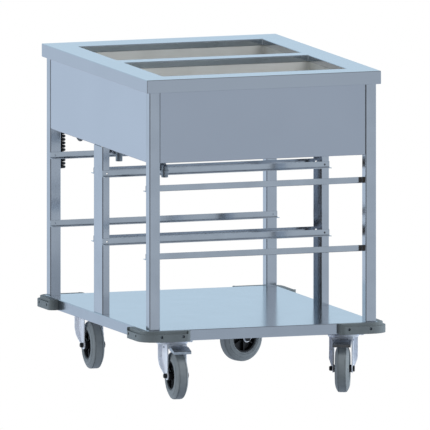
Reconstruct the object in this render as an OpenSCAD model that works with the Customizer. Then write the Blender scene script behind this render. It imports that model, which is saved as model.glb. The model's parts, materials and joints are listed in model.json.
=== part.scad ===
// Bain marie trolley: a heated two-well case on four legs, with runner rails for
// food pans, a base shelf, corner bumpers and four swivel casters.
// Origin at the floor, under the middle of the base. +X runs right along the
// plain front side, +Y runs away from it, +Z is up. Millimetres.

/* [Worktop and case] */
// Width of the worktop, left to right
top_w = 650; // [620:5:720]
// Depth of the worktop, front to rear
top_d = 850; // [820:5:950]
// Height of the worktop above the floor
top_h = 850; // [830:5:950]
// Height of the worktop's folded edge
edge_h = 35; // [25:1:45]
// Return fold under the worktop's edge
edge_return = 8; // [4:1:9]
// Sheet thickness of the worktop, case and shelf
sheet = 1.5; // [1:0.1:2]
// Return fold at the foot of the case panels
panel_return = 12; // [8:1:16]
// Set-back of the panels from the outer faces of the legs
panel_setback = 1.5; // [0.5:0.1:3]

/* [Wells] */
// Margin beside a well, to the worktop's left or right edge
side_margin = 69.5; // [62:0.5:80]
// Margin from the worktop's front edge to the front well
front_margin = 73; // [60:1:80]
// Margin from the rear well to the worktop's rear edge
rear_margin = 96; // [86:1:110]
// Width of the bridge between the wells
well_bridge = 55; // [50:1:70]
// Height of the folded collar round an opening
collar_h = 17; // [10:1:25]
// Depth of a tub below the worktop
tub_depth = 196; // [150:1:200]
// Room from a tub's floor down to the foot of the case
tub_clear = 26; // [22:1:40]
// Wall of a tub
tub_wall = 1.2; // [0.8:0.1:2]
// Radius of a tub's upright corners
tub_corner_r = 10; // [8:1:40]
// Width of the flange that carries a tub
tub_flange = 14; // [8:1:20]
// Thickness of the heating mats under the tubs
heater_t = 4; // [3:0.5:6]

/* [Frame] */
// Side of the square corner legs
leg_w = 30; // [25:1:35]
// Wall of the legs
leg_wall = 2; // [1.5:0.1:3]
// Overhang of the worktop past the legs
leg_inset = 10; // [6:1:14]
// Face width of the channel posts
post_w = 70; // [60:1:80]
// Flange depth of the channel posts
post_flange = 20; // [16:1:24]
// Sheet of the channel posts
post_t = 2; // [1.5:0.1:3]
// Width of the ledge of the L-section rails
rail_leg = 20; // [16:1:24]
// Height of their upright
rail_h = 16.5; // [14:0.5:20]
// Sheet of the rails
rail_t = 1.5; // [1:0.1:2]
// Height of the lower rails above the shelf
rail_rise = 184; // [144:5:214]
// Depth of the upper rails below the case's foot
rail_drop = 78; // [75:1:118]
// Hole through a rail and post
rail_hole_d = 5; // [3:0.5:8]
// Distance of that hole from the rail's end
rail_hole_inset = 13; // [8:0.5:14]

/* [Base shelf] */
// Height of the shelf's surface above the floor
shelf_z = 186; // [184:1:190]
// Height of the shelf's folded edge
shelf_edge_h = 29; // [26:1:32]
// Overhang of the shelf past the legs
shelf_over = 5; // [2:1:8]
// Return fold under the shelf's edge
shelf_return = 14; // [8:1:15]
// Width of the channels that carry the casters
channel_w = 100; // [96:1:104]
// Sheet of these channels
channel_t = 2.5; // [2:0.1:4]

/* [Bumpers] */
// Thickness of a bumper arm
bumper_t = 24; // [20:1:28]
// Height of a bumper
bumper_h = 28; // [24:1:30]
// Length of a bumper arm from the outer corner
bumper_arm = 137; // [125:1:160]
// Outer corner radius
bumper_r = 48; // [35:1:60]
// Depth of the step along the upper edge
bumper_step_t = 7; // [4:1:10]
// Height of that step
bumper_step_h = 8; // [5:1:12]
// Bumper screw head diameter
bumper_screw_d = 7; // [5:0.5:9]
// First bumper screw from the outer corner
bumper_screw_a = 54; // [52:1:70]
// Second bumper screw from the outer corner
bumper_screw_b = 114; // [85:1:118]

/* [Casters] */
// Distance of the front left swivel axis from the shelf's left edge
caster_left = 90; // [82:1:100]
// Distance of the front right swivel axis from the shelf's right edge
caster_right = 74; // [68:1:84]
// How much nearer the middle the two rear swivel axes are
caster_rear_in = 10; // [0:1:16]
// Distance of a swivel axis from the shelf's front or rear edge
caster_end = 70; // [68:1:75]
// Wheel diameter
wheel_d = 125; // [118:1:126]
// Tyre width
tyre_w = 38; // [32:1:40]
// Hub diameter at the tyre's seat
hub_d = 76; // [66:1:84]
// Hub length between the fork arms
hub_l = 46.5; // [42:0.5:47]
// Axle diameter
axle_d = 10; // [8:0.5:12]
// Trail from the swivel axis to the axle
trail = 40; // [36:1:44]
// Gap between the fork arms
fork_gap = 47.5; // [47:0.5:52]
// Sheet of the fork
fork_t = 3; // [2.5:0.1:3.5]
// Flange of the fork arms
fork_flange = 11; // [6:1:13]
// Swivel race diameter
race_d = 82; // [70:1:83]
// King pin diameter
king_d = 12; // [10:1:14]
// Mounting plate length
plate_l = 105; // [100:1:110]
// Mounting plate width
plate_w = 85; // [80:1:90]
// Mounting plate thickness
plate_t = 3.5; // [2.5:0.5:4]
// Bolt spacing along the plate
bolt_l = 80; // [78:1:84]
// Bolt spacing across the plate
bolt_w = 60; // [60:1:64]
// Caster bolt diameter
bolt_d = 8; // [6:1:9]

/* [Brakes] */
// Reach of a brake pedal from the swivel axis
pedal_reach = 96; // [88:1:104]
// Width of the tread of a pedal
pedal_w = 48; // [36:1:54]
// Diameter of a pedal's pivot pin
pedal_pin_d = 5; // [4:0.5:6]

/* [Drains] */
// Distance from a well's left end to its drain
drain_inset = 58.5; // [44:0.5:85]
// Distance from a tub's sump to the valve's outlet
drain_run = 70; // [64:1:80]
// Diameter of a valve's barrel
valve_d = 25; // [20:1:28]
// Diameter of an outlet
outlet_d = 18; // [14:1:20]
// Bore of the drain
outlet_bore_d = 12; // [8:1:13]
// Depth of the front outlet below the case's foot
outlet_front_drop = 65; // [50:1:66]
// Depth of the rear outlet below the case's foot
outlet_rear_drop = 65; // [50:1:66]
// Drop from a valve's axis to its outlet
outlet_drop = 25; // [20:1:26]
// Length of the hose tail at an outlet
hose_l = 16; // [12:1:16]
// Stem of a valve
valve_stem_d = 6; // [5:0.5:8]
// Span of a valve's handle
handle_span = 44; // [36:1:46]

/* [Controls] */
// Thermostat knob diameter
knob_d = 42; // [34:1:48]
// Height of a knob
knob_h = 20; // [14:1:22]
// Knobs below the worktop
knob_drop = 105; // [90:1:120]
// Distance between the knobs
knob_pitch = 130; // [100:1:160]
// Shaft of a thermostat
stem_d = 6; // [5:0.5:8]
// Diameter of a pilot lamp
lamp_d = 14; // [10:1:18]

/* [Mains cord] */
// Diameter of the cord
cord_d = 8; // [7:0.1:8.2]
// Middle diameter of the curls
curl_d = 20; // [18:0.5:22]
// Rise of one curl
curl_pitch = 9; // [9:0.1:9.4]

/* [Hidden] */
$fn = 64;

// Colours, as red, green and blue shares
steel_c = [0.72, 0.77, 0.83];
shade_c = [0.60, 0.65, 0.71];
zinc_c = [0.80, 0.83, 0.90];
rubber_c = [0.46, 0.50, 0.52];
bumper_c = [0.42, 0.46, 0.48];
black_c = [0.07, 0.07, 0.08];

// Radial clearance of a running shaft
run_gap = 0.05;
// Clearance of a piece that slips over another
fit_gap = 0.3;
// Joint beside a panel
panel_gap = 0.5;
// Overshoot of a cutting tool
cut = 1;

// Frame
leg_x = top_w / 2 - leg_inset;
leg_y = top_d / 2 - leg_inset;
leg_in_x = leg_x - leg_w;
leg_in_y = leg_y - leg_w;
under_top = top_h - sheet;
case_h = tub_depth + tub_clear;
case_z = top_h - case_h;
panel_x = leg_x - panel_setback;
panel_y = leg_y - panel_setback;
shelf_x = leg_x + shelf_over;
shelf_y = leg_y + shelf_over;
shelf_foot = shelf_z - shelf_edge_h;
rail_low_z = shelf_z + rail_rise;
rail_high_z = case_z - rail_drop;

// Wells
well_l = top_w - 2 * side_margin;
well_w = (top_d - front_margin - rear_margin - well_bridge) / 2;
well_front_y = -top_d / 2 + front_margin + well_w / 2;
well_rear_y = well_front_y + well_w + well_bridge;
tub_in_l = well_l + 2 * (sheet + fit_gap);
tub_in_w = well_w + 2 * (sheet + fit_gap);
tub_out_l = tub_in_l + 2 * tub_wall;
tub_out_w = tub_in_w + 2 * tub_wall;
tub_floor = top_h - tub_depth;
tub_under = tub_floor - tub_wall;
throat_z = top_h - collar_h - fit_gap;

// Drains
drain_x = well_l / 2 - drain_inset;
pipe_wall = 2;
pipe_d = outlet_bore_d + 2 * pipe_wall;
boss_wall = 3;
boss_h = 10;
housing_l = 30;
collar_l = 8;
stem_boss = 7.5;
stem_boss_d = 14;
handle_gap = 0.5;
handle_hub = 6;
valve_front_z = case_z - outlet_front_drop + outlet_drop;
valve_rear_z = case_z - outlet_rear_drop + outlet_drop;

// Casters
function caster_x(i, j) =
    i * (shelf_x - (i < 0 ? caster_left : caster_right) - (j > 0 ? caster_rear_in : 0));
caster_y = shelf_y - caster_end;
fork_out = fork_gap / 2 + fork_t;
crown_drop = 8.5;
crown_top = shelf_foot - plate_t - crown_drop;
crown_foot = crown_top - fork_t;
race_t = 2;
race_lip = 4.5;
king_head_h = 3.2;
arm_lead = -4;
arm_waist = 42;
axle_z = wheel_d / 2;
axle_boss_r = axle_d / 2 + 6;
pivot_t = 18;
pivot_z = crown_foot - 6;
tread_t = trail + 10;
pedal_sheet = 2.5;

// Heading of each caster's trail, in degrees from +X
head_fl = -92;
head_fr = -112;
head_rl = -93;
head_rr = -161;

// Controls on the rear panel
switch_x = leg_in_x - 35;
control_x = switch_x - knob_pitch;
knob_z = top_h - knob_drop;
lamp_z = knob_z + 40;
stem_out = 15;
knob_gap = 0.5;
lamp_neck_d = lamp_d - 3;
switch_w = 22;
switch_h = 30;
switch_wall = 1;
switch_depth = 24;
bezel = 3;
bezel_t = 2;
rocker_tilt = 8;
rocker_set = 4;
rocker_reach = 13;
rocker_pin_d = 3;
lamp_body = 22;
thermostat = 36;
thermostat_depth = 24;

// Fasteners
screw_d = 4;
screw_head_h = 3;
screw_recess = 2;
screw_z = shelf_foot + bumper_h / 2;

// Mains cord: its plain stretches run through these points, chosen for a left leg,
// rear panel and case foot that meet at cord_datum
cord_datum = [-285, 413.5, 628];
cord_shift = [-leg_in_x, panel_y, case_z] - cord_datum;
tail_points = [
    [-180, 440, 668], [-180, 460, 668], [-182, 476, 664], [-187, 488, 653], [-193, 494, 637],
    [-199, 494, 619], [-204, 489, 602], [-206, 477, 590], [-206, 462, 586], [-206, 446, 590],
    [-206, 434, 602], [-206, 430, 618], [-206, 430, 640], [-206, 430, 665], [-206, 430, 690],
    [-206, 430, 714], [-211, 430, 732], [-224, 430, 745], [-242, 430, 750], [-260, 430, 745],
    [-273, 430, 732], [-278, 430, 714], [-278, 430, 702]
];
lead_points = [
    [-165, 455, 690], [-185, 455, 690], [-207, 459, 688], [-228, 466, 682], [-247, 476, 670],
    [-262, 486, 653], [-272, 494, 632], [-277, 499, 608], [-278, 500, 584], [-278, 500, 560],
    [-278, 500, 540], [-278, 500, 522], [-278, 500, 497], [-278, 495, 480], [-278, 483, 467],
    [-278, 465, 462], [-278, 447, 467], [-278, 435, 480], [-278, 430, 497]
];
tail_route = [for (p = tail_points) p + cord_shift];
lead_route = [for (p = lead_points) p + cord_shift];
gland_at = tail_route[0];
gland_shank_d = 16;
gland_nut_d = 26;
gland_nut_h = 6;
gland_dome_h = 8;
coil_top = tail_route[len(tail_route) - 1];
coil_foot = lead_route[len(lead_route) - 1];
plug_sleeve_end = lead_route[0];
cord_sides = 8;
curl_sides = 6;
curl_rings = 8;
hook_r = 36;
hook_at = [coil_top[0] + hook_r, coil_top[2] + 12];
hook_y = coil_top[1];
hook_t = 4;
hook_gap = 1.6;
plug_sleeve_l = 45;
plug_at = [plug_sleeve_end[0] + plug_sleeve_l, plug_sleeve_end[2]];
plug_y = plug_sleeve_end[1] - 19.5;
plug_l = 34;
plug_r = 19;
plug_gap = 0.6;
plug_pin_l = 19;
cup_t = 4;
cup_floor = plug_y - plug_pin_l - panel_y;

// Rectangle round the middle with true round corners
module round_plate(l, w, r) {
    square([l, w - 2 * r], center = true);
    square([l - 2 * r, w], center = true);
    for (i = [-1, 1], j = [-1, 1])
        translate([i * (l / 2 - r), j * (w / 2 - r)]) circle(r = r);
}

// Box given by its lowest and highest corners
module block(low, high) {
    translate(low) cube(high - low);
}

// Round bar or hole along Y
module bar_y(x, y0, y1, z, d) {
    translate([x, y1, z]) rotate([90, 0, 0]) cylinder(d = d, h = y1 - y0);
}

// Round bar or hole along X
module bar_x(x0, x1, y, z, d) {
    translate([x0, y, z]) rotate([0, 90, 0]) cylinder(d = d, h = x1 - x0);
}

// Outline drawn in X and Z, as deep as y0 to y1
module side_plate(y0, y1) {
    translate([0, y1, 0]) rotate([90, 0, 0]) linear_extrude(y1 - y0) children();
}

// Folded tray turned upside down: a flat top, four edges and a return fold
module tray(half_x, half_y, top, height, fold, t) {
    difference() {
        block([-half_x, -half_y, top - height], [half_x, half_y, top]);
        block(
            [-half_x + t, -half_y + t, top - height + t],
            [half_x - t, half_y - t, top - t]
        );
        block(
            [-half_x + fold, -half_y + fold, top - height - cut],
            [half_x - fold, half_y - fold, top - height + t + cut]
        );
    }
}

module worktop() color(steel_c) {
    difference() {
        union() {
            tray(top_w / 2, top_d / 2, top_h, edge_h, edge_return, sheet);
            for (y = [well_front_y, well_rear_y])
                translate([0, y, top_h - collar_h])
                    linear_extrude(collar_h)
                        square([well_l + 2 * sheet, well_w + 2 * sheet], center = true);
        }
        for (y = [well_front_y, well_rear_y])
            translate([0, y, top_h - collar_h - cut])
                linear_extrude(collar_h + 2 * cut)
                    square([well_l, well_w], center = true);
    }
}

// Tub hung under the worktop: a square throat round the collar, a rounded tub below it
// and a pipe socket at its sump
module well(y) color(shade_c) translate([0, y, 0]) {
    difference() {
        union() {
            translate([0, 0, tub_under])
                linear_extrude(under_top - tub_under)
                    round_plate(tub_out_l, tub_out_w, tub_corner_r + tub_wall);
            translate([0, 0, throat_z - tub_wall])
                linear_extrude(under_top - throat_z + tub_wall)
                    square([tub_out_l, tub_out_w], center = true);
            translate([0, 0, under_top - tub_wall])
                linear_extrude(tub_wall)
                    square([tub_out_l, tub_out_w] + 2 * [tub_flange, tub_flange], center = true);
            translate([-drain_x, drain_run, tub_under - boss_h])
                cylinder(d = pipe_d + 2 * boss_wall, h = boss_h + tub_wall / 2);
        }
        translate([0, 0, tub_floor])
            linear_extrude(tub_depth)
                round_plate(tub_in_l, tub_in_w, tub_corner_r);
        translate([0, 0, throat_z])
            linear_extrude(tub_depth)
                square([tub_in_l, tub_in_w], center = true);
        translate([-drain_x, drain_run, tub_under - boss_h - cut])
            cylinder(d = pipe_d + 2 * run_gap, h = boss_h + tub_wall + 2 * cut);
    }
}

// Case panel across the front, with a return fold at its foot and head
module case_panel(half_l, y_out) {
    difference() {
        block([-half_l, -y_out, case_z], [half_l, -y_out + panel_return, under_top]);
        block(
            [-half_l - cut, -y_out + sheet, case_z + sheet],
            [half_l + cut, -y_out + panel_return + cut, under_top - sheet]
        );
    }
}

module front_panel() color(shade_c) {
    case_panel(leg_in_x - panel_gap, panel_y);
}

module side_panel(side) color(shade_c) {
    rotate([0, 0, side * 90]) case_panel(leg_in_y - panel_gap, panel_x);
}

module rear_panel() color(shade_c) {
    difference() {
        rotate([0, 0, 180]) case_panel(leg_in_x - panel_gap, panel_y);
        for (i = [-1, 1]) {
            x = control_x + i * knob_pitch / 2;
            bar_y(x, panel_y - sheet - cut, panel_y + cut, knob_z, stem_d + 4);
            bar_y(x, panel_y - sheet - cut, panel_y + cut, lamp_z, lamp_neck_d + 2 * run_gap);
        }
        block(
            [switch_x - switch_w / 2 - fit_gap, panel_y - sheet - cut, knob_z - switch_h / 2 - fit_gap],
            [switch_x + switch_w / 2 + fit_gap, panel_y + cut, knob_z + switch_h / 2 + fit_gap]
        );
        bar_y(gland_at[0], panel_y - sheet - cut, panel_y + cut, gland_at[2], gland_shank_d + 2 * run_gap);
    }
}

// Sheet that closes the case from below, notched round the legs
module body_floor() color(shade_c) {
    half_x = panel_x - sheet - fit_gap;
    half_y = panel_y - sheet - fit_gap;
    difference() {
        block([-half_x, -half_y, case_z + sheet], [half_x, half_y, case_z + 2 * sheet]);
        for (i = [-1, 1], j = [-1, 1])
            translate([i * leg_x, j * leg_y, case_z])
                cube([2 * (leg_w + fit_gap), 2 * (leg_w + fit_gap), 6 * sheet], center = true);
        for (y = [well_front_y, well_rear_y])
            translate([-drain_x, y + drain_run, case_z])
                cylinder(d = pipe_d + 8, h = 3 * sheet);
    }
}

// Square tube leg between the shelf and the worktop
module leg(i, j) color(steel_c) {
    translate([i * (leg_x - leg_w / 2), j * (leg_y - leg_w / 2), shelf_z])
        linear_extrude(under_top - shelf_z)
            difference() {
                square(leg_w, center = true);
                square(leg_w - 2 * leg_wall, center = true);
            }
}

// Channel post, open towards the middle, with the rails' holes in its flanges
module post(side) color(steel_c) {
    difference() {
        translate([0, 0, shelf_z])
            linear_extrude(case_z - shelf_z)
                difference() {
                    translate([min(side * leg_x, side * (leg_x - post_flange)), -post_w / 2])
                        square([post_flange, post_w]);
                    translate([side * (leg_x - post_t - post_flange / 2), 0])
                        square([post_flange, post_w - 2 * post_t], center = true);
                }
        for (z = [rail_low_z, rail_high_z])
            bar_y(
                side * (leg_x - rail_hole_inset), -post_w / 2 - cut, post_w / 2 + cut,
                z + rail_h / 2, rail_hole_d
            );
    }
}

// L-section rail along X: its upright lies on y, its shelf points along dir
module rail(y, dir, z) {
    difference() {
        block(
            [-leg_x, min(y, y + dir * rail_leg), z],
            [leg_x, max(y, y + dir * rail_leg), z + rail_h]
        );
        block(
            [-leg_x - cut, min(y + dir * rail_t, y + dir * (rail_leg + cut)), z + rail_t],
            [leg_x + cut, max(y + dir * rail_t, y + dir * (rail_leg + cut)), z + rail_h + cut]
        );
        for (i = [-1, 1])
            bar_y(
                i * (leg_x - rail_hole_inset), y - rail_t - cut, y + rail_t + cut,
                z + rail_h / 2, rail_hole_d
            );
    }
}

// The two facing rails of one bay at one height
module rail_pair(bay, z) color(shade_c) {
    rail(bay * leg_in_y, -bay, z);
    rail(bay * post_w / 2, bay, z);
}

module base_shelf() color(steel_c) {
    difference() {
        union() {
            tray(shelf_x, shelf_y, shelf_z, shelf_edge_h, shelf_return, sheet);
            for (j = [-1, 1])
                difference() {
                    block(
                        [-shelf_x + sheet / 2, j * caster_y - channel_w / 2, shelf_foot],
                        [shelf_x - sheet / 2, j * caster_y + channel_w / 2, shelf_z - sheet / 2]
                    );
                    block(
                        [-shelf_x + sheet, j * caster_y - channel_w / 2 + channel_t, shelf_foot + channel_t],
                        [shelf_x - sheet, j * caster_y + channel_w / 2 - channel_t, shelf_z - sheet]
                    );
                }
        }
        caster_bolt_places()
            translate([0, 0, shelf_foot - cut]) cylinder(d = bolt_d + fit_gap, h = channel_t + 2 * cut);
        bumper_screw_places()
            translate([0, 0, -sheet - cut]) cylinder(d = screw_d + 2 * run_gap, h = sheet + 2 * cut);
    }
}

// Outline drawn in Y and Z, from x0 to x1
module end_plate(x0, x1) {
    translate([x0, 0, 0]) rotate([90, 0, 90]) linear_extrude(x1 - x0) children();
}

// Every bumper screw's place on the shelf's edge, with +Z pointing out of it
module bumper_screw_places() {
    for (i = [-1, 1], j = [-1, 1])
        bumper_screw_pair(i, j) children();
}

module bumper_screw_pair(i, j) {
    for (a = [bumper_screw_a, bumper_screw_b]) {
        translate([i * (shelf_x + bumper_t - a), j * shelf_y, screw_z])
            rotate([-j * 90, 0, 0]) children();
        translate([i * shelf_x, j * (shelf_y + bumper_t - a), screw_z])
            rotate([0, i * 90, 0]) children();
    }
}

// Plan of a bumper at the corner in +X and +Y, drawn in by inset from outside
module bumper_plan(inset) {
    out_x = shelf_x + bumper_t - inset;
    out_y = shelf_y + bumper_t - inset;
    low_x = shelf_x + bumper_t - bumper_arm;
    low_y = shelf_y + bumper_t - bumper_arm;
    r = bumper_r - inset;
    end_r = 14;
    difference() {
        union() {
            translate([low_x, low_y]) square([bumper_arm - inset - end_r, bumper_arm - inset - r]);
            translate([low_x, low_y]) square([bumper_arm - inset - r, bumper_arm - inset - end_r]);
            translate([low_x + end_r, low_y]) square([bumper_arm - inset - end_r - r, bumper_arm - inset]);
            translate([low_x, low_y + end_r]) square([bumper_arm - inset, bumper_arm - inset - end_r - r]);
            translate([out_x - r, out_y - r]) circle(r = r);
            translate([low_x + end_r, out_y - end_r]) circle(r = end_r);
            translate([out_x - end_r, low_y + end_r]) circle(r = end_r);
        }
        translate([low_x - cut, low_y - cut])
            square([shelf_x - low_x + cut, shelf_y - low_y + cut]);
    }
}

module bumper(i, j) color(bumper_c) {
    low_x = shelf_x + bumper_t - bumper_arm;
    low_y = shelf_y + bumper_t - bumper_arm;
    foot = shelf_z - bumper_h;
    step_end = 9;
    difference() {
        mirror([i < 0 ? 1 : 0, 0, 0]) mirror([0, j < 0 ? 1 : 0, 0])
            difference() {
                translate([0, 0, foot]) linear_extrude(bumper_h) bumper_plan(0);
                translate([0, 0, shelf_z - bumper_step_h])
                    linear_extrude(bumper_step_h + cut)
                        difference() {
                            translate([low_x + step_end, low_y + step_end]) square(2 * bumper_arm);
                            bumper_plan(bumper_step_t);
                            square([shelf_x, shelf_y]);
                        }
            }
        bumper_screw_pair(i, j) {
            translate([0, 0, -cut]) cylinder(d = screw_d + 2 * run_gap, h = bumper_t + 2 * cut);
            translate([0, 0, bumper_t - screw_recess - screw_head_h])
                cylinder(d = bumper_screw_d + fit_gap, h = bumper_t);
        }
    }
}

module bumper_screws() color(zinc_c) {
    bumper_screw_places() {
        translate([0, 0, -sheet - 3]) cylinder(d = screw_d, h = bumper_t - screw_recess + 3 + sheet - cut);
        translate([0, 0, bumper_t - screw_recess - screw_head_h])
            difference() {
                cylinder(d = bumper_screw_d, h = screw_head_h);
                translate([0, 0, screw_head_h - 1.2]) cylinder(d = 3, h = 3, $fn = 6);
            }
    }
}

// Places of the four swivel axes, and a caster's own frame with +X along its trail
module caster_places() {
    for (i = [-1, 1], j = [-1, 1])
        translate([caster_x(i, j), j * caster_y, 0]) children();
}

module caster_bolt_places() {
    caster_places()
        for (a = [-1, 1], b = [-1, 1])
            translate([a * bolt_l / 2, b * bolt_w / 2, 0]) children();
}

module caster_frame(i, j, heading) {
    translate([caster_x(i, j), j * caster_y, 0]) rotate([0, 0, heading]) children();
}

// Mounting plates, each with its upper race and riveted king pin
module caster_plates() color(zinc_c) {
    plate_foot = shelf_foot - plate_t;
    caster_places() {
        difference() {
            translate([0, 0, plate_foot]) linear_extrude(plate_t) round_plate(plate_l, plate_w, 8);
            for (a = [-1, 1], b = [-1, 1])
                translate([a * bolt_l / 2, b * bolt_w / 2, plate_foot - cut])
                    cylinder(d = bolt_d + fit_gap, h = plate_t + 2 * cut);
        }
        translate([0, 0, crown_top + race_t + fit_gap])
            cylinder(d1 = race_d - 16, d2 = race_d - 20, h = plate_foot - crown_top - race_t - fit_gap);
        translate([0, 0, crown_foot - fit_gap - cut])
            cylinder(d = king_d, h = race_t + fork_t + 2 * fit_gap + 2 * cut);
        translate([0, 0, crown_foot - fit_gap - king_head_h]) cylinder(d = king_d + 8, h = king_head_h);
    }
}

module caster_bolts() color(zinc_c) {
    head_h = 5;
    nut_h = 6.5;
    caster_bolt_places() {
        translate([0, 0, shelf_foot - plate_t - head_h]) cylinder(d = bolt_d * 1.8, h = head_h, $fn = 6);
        translate([0, 0, shelf_foot - plate_t - cut]) cylinder(d = bolt_d, h = plate_t + channel_t + nut_h + 4);
        translate([0, 0, shelf_foot + channel_t]) cylinder(d = bolt_d * 1.8, h = nut_h, $fn = 6);
    }
}

// Outline of a fork arm in its own plane
module arm_outline() {
    r = axle_boss_r;
    difference() {
        union() {
            polygon([
                [arm_lead, crown_top], [trail + 6, crown_top], [trail + 6, axle_z],
                [trail, axle_z - r], [trail - r, axle_z - r / 2], [arm_lead, axle_z + arm_waist]
            ]);
            translate([trail, axle_z]) circle(r = r);
        }
        translate([trail, axle_z]) circle(r = axle_d / 2 + run_gap);
        translate([pivot_t, pivot_z]) circle(d = pedal_pin_d + 2 * run_gap);
    }
}

// Pressed fork: crown with the lower race, two arms, their outward flanges and the
// corner gussets of the crown's rear edge
module fork(i, j, heading) color(zinc_c) caster_frame(i, j, heading) {
    race_rim = 5;
    difference() {
        union() {
            translate([0, 0, crown_foot])
                linear_extrude(fork_t) {
                    translate([-24, -fork_out]) square([trail + 30, 2 * fork_out]);
                    circle(r = fork_out + 4);
                }
            translate([0, 0, crown_foot + fork_t / 2])
                cylinder(d = race_d, h = race_t + race_lip + fork_t / 2);
            for (s = [-1, 1]) {
                side_plate(min(s * fork_gap / 2, s * fork_out), max(s * fork_gap / 2, s * fork_out))
                    arm_outline();
                arm_flange(s);
                gusset(s);
            }
        }
        translate([0, 0, crown_foot - cut]) cylinder(d = king_d + 2 * run_gap, h = race_t + fork_t + 2 * cut);
        translate([0, 0, crown_top + race_t]) cylinder(d = race_d - 2 * race_rim, h = race_lip + cut);
    }
}

// Flange turned outwards along the leading edge of an arm
module arm_flange(s) {
    intersection() {
        side_plate(
            min(s * (fork_out - fork_t / 2), s * (fork_out + fork_flange)),
            max(s * (fork_out - fork_t / 2), s * (fork_out + fork_flange))
        )
            difference() {
                arm_outline();
                translate([fork_t, fork_t / 2]) arm_fill();
            }
        end_plate(arm_lead - cut, trail + 20)
            polygon([
                [s * (fork_out - fork_t), axle_z + 2], [s * (fork_out + 3), axle_z + 2],
                [s * (fork_out + fork_flange), axle_z + 24], [s * (fork_out + fork_flange), crown_top],
                [s * (fork_out - fork_t), crown_top]
            ]);
    }
}

// Area behind the flange: the arm's outline without its holes, reaching past it
module arm_fill() {
    r = axle_boss_r;
    polygon([
        [arm_lead, crown_top + 20], [trail + 40, crown_top + 20], [trail + 40, axle_z - r - 20],
        [trail, axle_z - r - 4], [trail - r, axle_z - r / 2], [arm_lead, axle_z + arm_waist]
    ]);
}

module gusset(s) {
    end_plate(trail + 6 - fork_t, trail + 6)
        polygon([
            [s * (fork_gap / 2 + fork_t / 2), crown_foot + fork_t / 2],
            [s * (fork_gap / 2 - 12), crown_foot + fork_t / 2],
            [s * (fork_gap / 2 - 2), crown_foot - 8],
            [s * (fork_gap / 2 + fork_t / 2), crown_foot - 8]
        ]);
}

// Axle bolt with its head on one side and its capped nut on the other
module axle(i, j, heading) color(black_c) caster_frame(i, j, heading) {
    cap_d = 13.4;
    cap_h = 8.8;
    bar_y(trail, -fork_out - 1, fork_out + 1, axle_z, axle_d);
    translate([trail, fork_out, axle_z]) rotate([-90, 0, 0]) cylinder(d = axle_d * 1.75, h = 5, $fn = 6);
    translate([trail, -fork_out, axle_z]) rotate([90, 0, 0])
        rotate_extrude()
            polygon([[0, 0], [cap_d / 2, 0], [cap_d / 2, cap_h - 2.5], [cap_d / 2 - 2, cap_h], [0, cap_h]]);
}

// Turned shape round a wheel's axle: its outline is radius and distance across
module turned(i, j, heading) caster_frame(i, j, heading) {
    translate([trail, 0, axle_z]) rotate([90, 0, 0]) rotate_extrude() children();
}

// Tyre outline: seat, bulged side, step, shoulder and tread, on both halves
module tyre(i, j, heading) color(rubber_c) {
    r = wheel_d / 2;
    half = tyre_w / 2;
    seat = hub_d / 2;
    side = [
        [seat, half - 3.5], [seat + 2.5, half - 0.7], [seat + 5, half], [r - 14.5, half - 1],
        [r - 10.6, half - 2.2], [r - 9.8, half - 3.3], [r - 5, half - 5], [r - 2.2, half - 6.4],
        [r - 0.4, half - 8.6], [r - 1.1, half - 9.4], [r - 1.1, half - 10.2], [r, half - 10.6]
    ];
    turned(i, j, heading)
        polygon(concat(side, [for (k = [len(side) - 1:-1:0]) [side[k][0], -side[k][1]]]));
}

// Moulded hub: boss, dished web with ribs, and the rim under the tyre
module hub(i, j, heading) color(black_c) {
    rim = hub_d / 2;
    half = tyre_w / 2 - 3.5;
    ribs = 6;
    boss_r = 10;
    web = [
        [axle_d / 2 + run_gap, hub_l / 2], [boss_r, hub_l / 2], [boss_r + 1.5, 4], [rim - 6, 3],
        [rim - 4, half], [rim, half]
    ];
    turned(i, j, heading)
        polygon(concat(web, [for (k = [len(web) - 1:-1:0]) [web[k][0], -web[k][1]]]));
    caster_frame(i, j, heading)
        translate([trail, 0, axle_z])
            for (k = [0:ribs - 1])
                rotate([0, k * 360 / ribs, 0])
                    translate([boss_r - 1, -half + 3, -1.6]) cube([rim - boss_r - 3, 2 * half - 6, 3.2]);
}

// Brake pedal: pivot tube and pin, neck under the crown, and a wide tread with a lip
module brake_pedal(i, j, heading) color(zinc_c) caster_frame(i, j, heading) {
    neck = 11;
    t = tread_t;
    end = pedal_reach;
    half = pedal_w / 2;
    bar_y(pivot_t, -fork_gap / 2 + fit_gap, fork_gap / 2 - fit_gap, pivot_z, pedal_pin_d + 4);
    bar_y(pivot_t, -fork_out - 2, fork_out + 2, pivot_z, pedal_pin_d);
    translate([0, 0, pivot_z]) {
        side_plate(-neck, neck)
            polygon([
                [pivot_t - 4, -4], [pivot_t - 4, 3], [t + 10, 3.5], [t + 6, -2], [t, -5.5]
            ]);
        side_plate(-half, half)
            polygon([
                [t, 2.5], [t + 2, 5], [end - 26, 4], [end - 2, -3], [end, -4.5], [end - 1, -11.5],
                [end - 3.5, -11.5], [end - 3.2, -5.8], [end - 27, 1], [t + 2, 2]
            ]);
        for (s = [-1, 1])
            side_plate(min(s * half, s * (half - pedal_sheet)), max(s * half, s * (half - pedal_sheet)))
                polygon([
                    [t + 3, 3.5], [end - 26, 2.5], [end - 3, -4], [end - 3, -9.5],
                    [end - 22, -8], [t + 6, -4]
                ]);
    }
}

// Heating mats under the tubs, with room for the drain sockets
module heaters() color(black_c) {
    mat_margin = 30;
    for (y = [well_front_y, well_rear_y])
        difference() {
            translate([0, y, tub_under - heater_t])
                linear_extrude(heater_t)
                    round_plate(well_l - 2 * mat_margin, well_w - 2 * mat_margin, 10);
            translate([-drain_x, y + drain_run, tub_under - heater_t - cut])
                cylinder(d = pipe_d + 2 * boss_wall + 6, h = heater_t + 2 * cut);
        }
}

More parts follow.
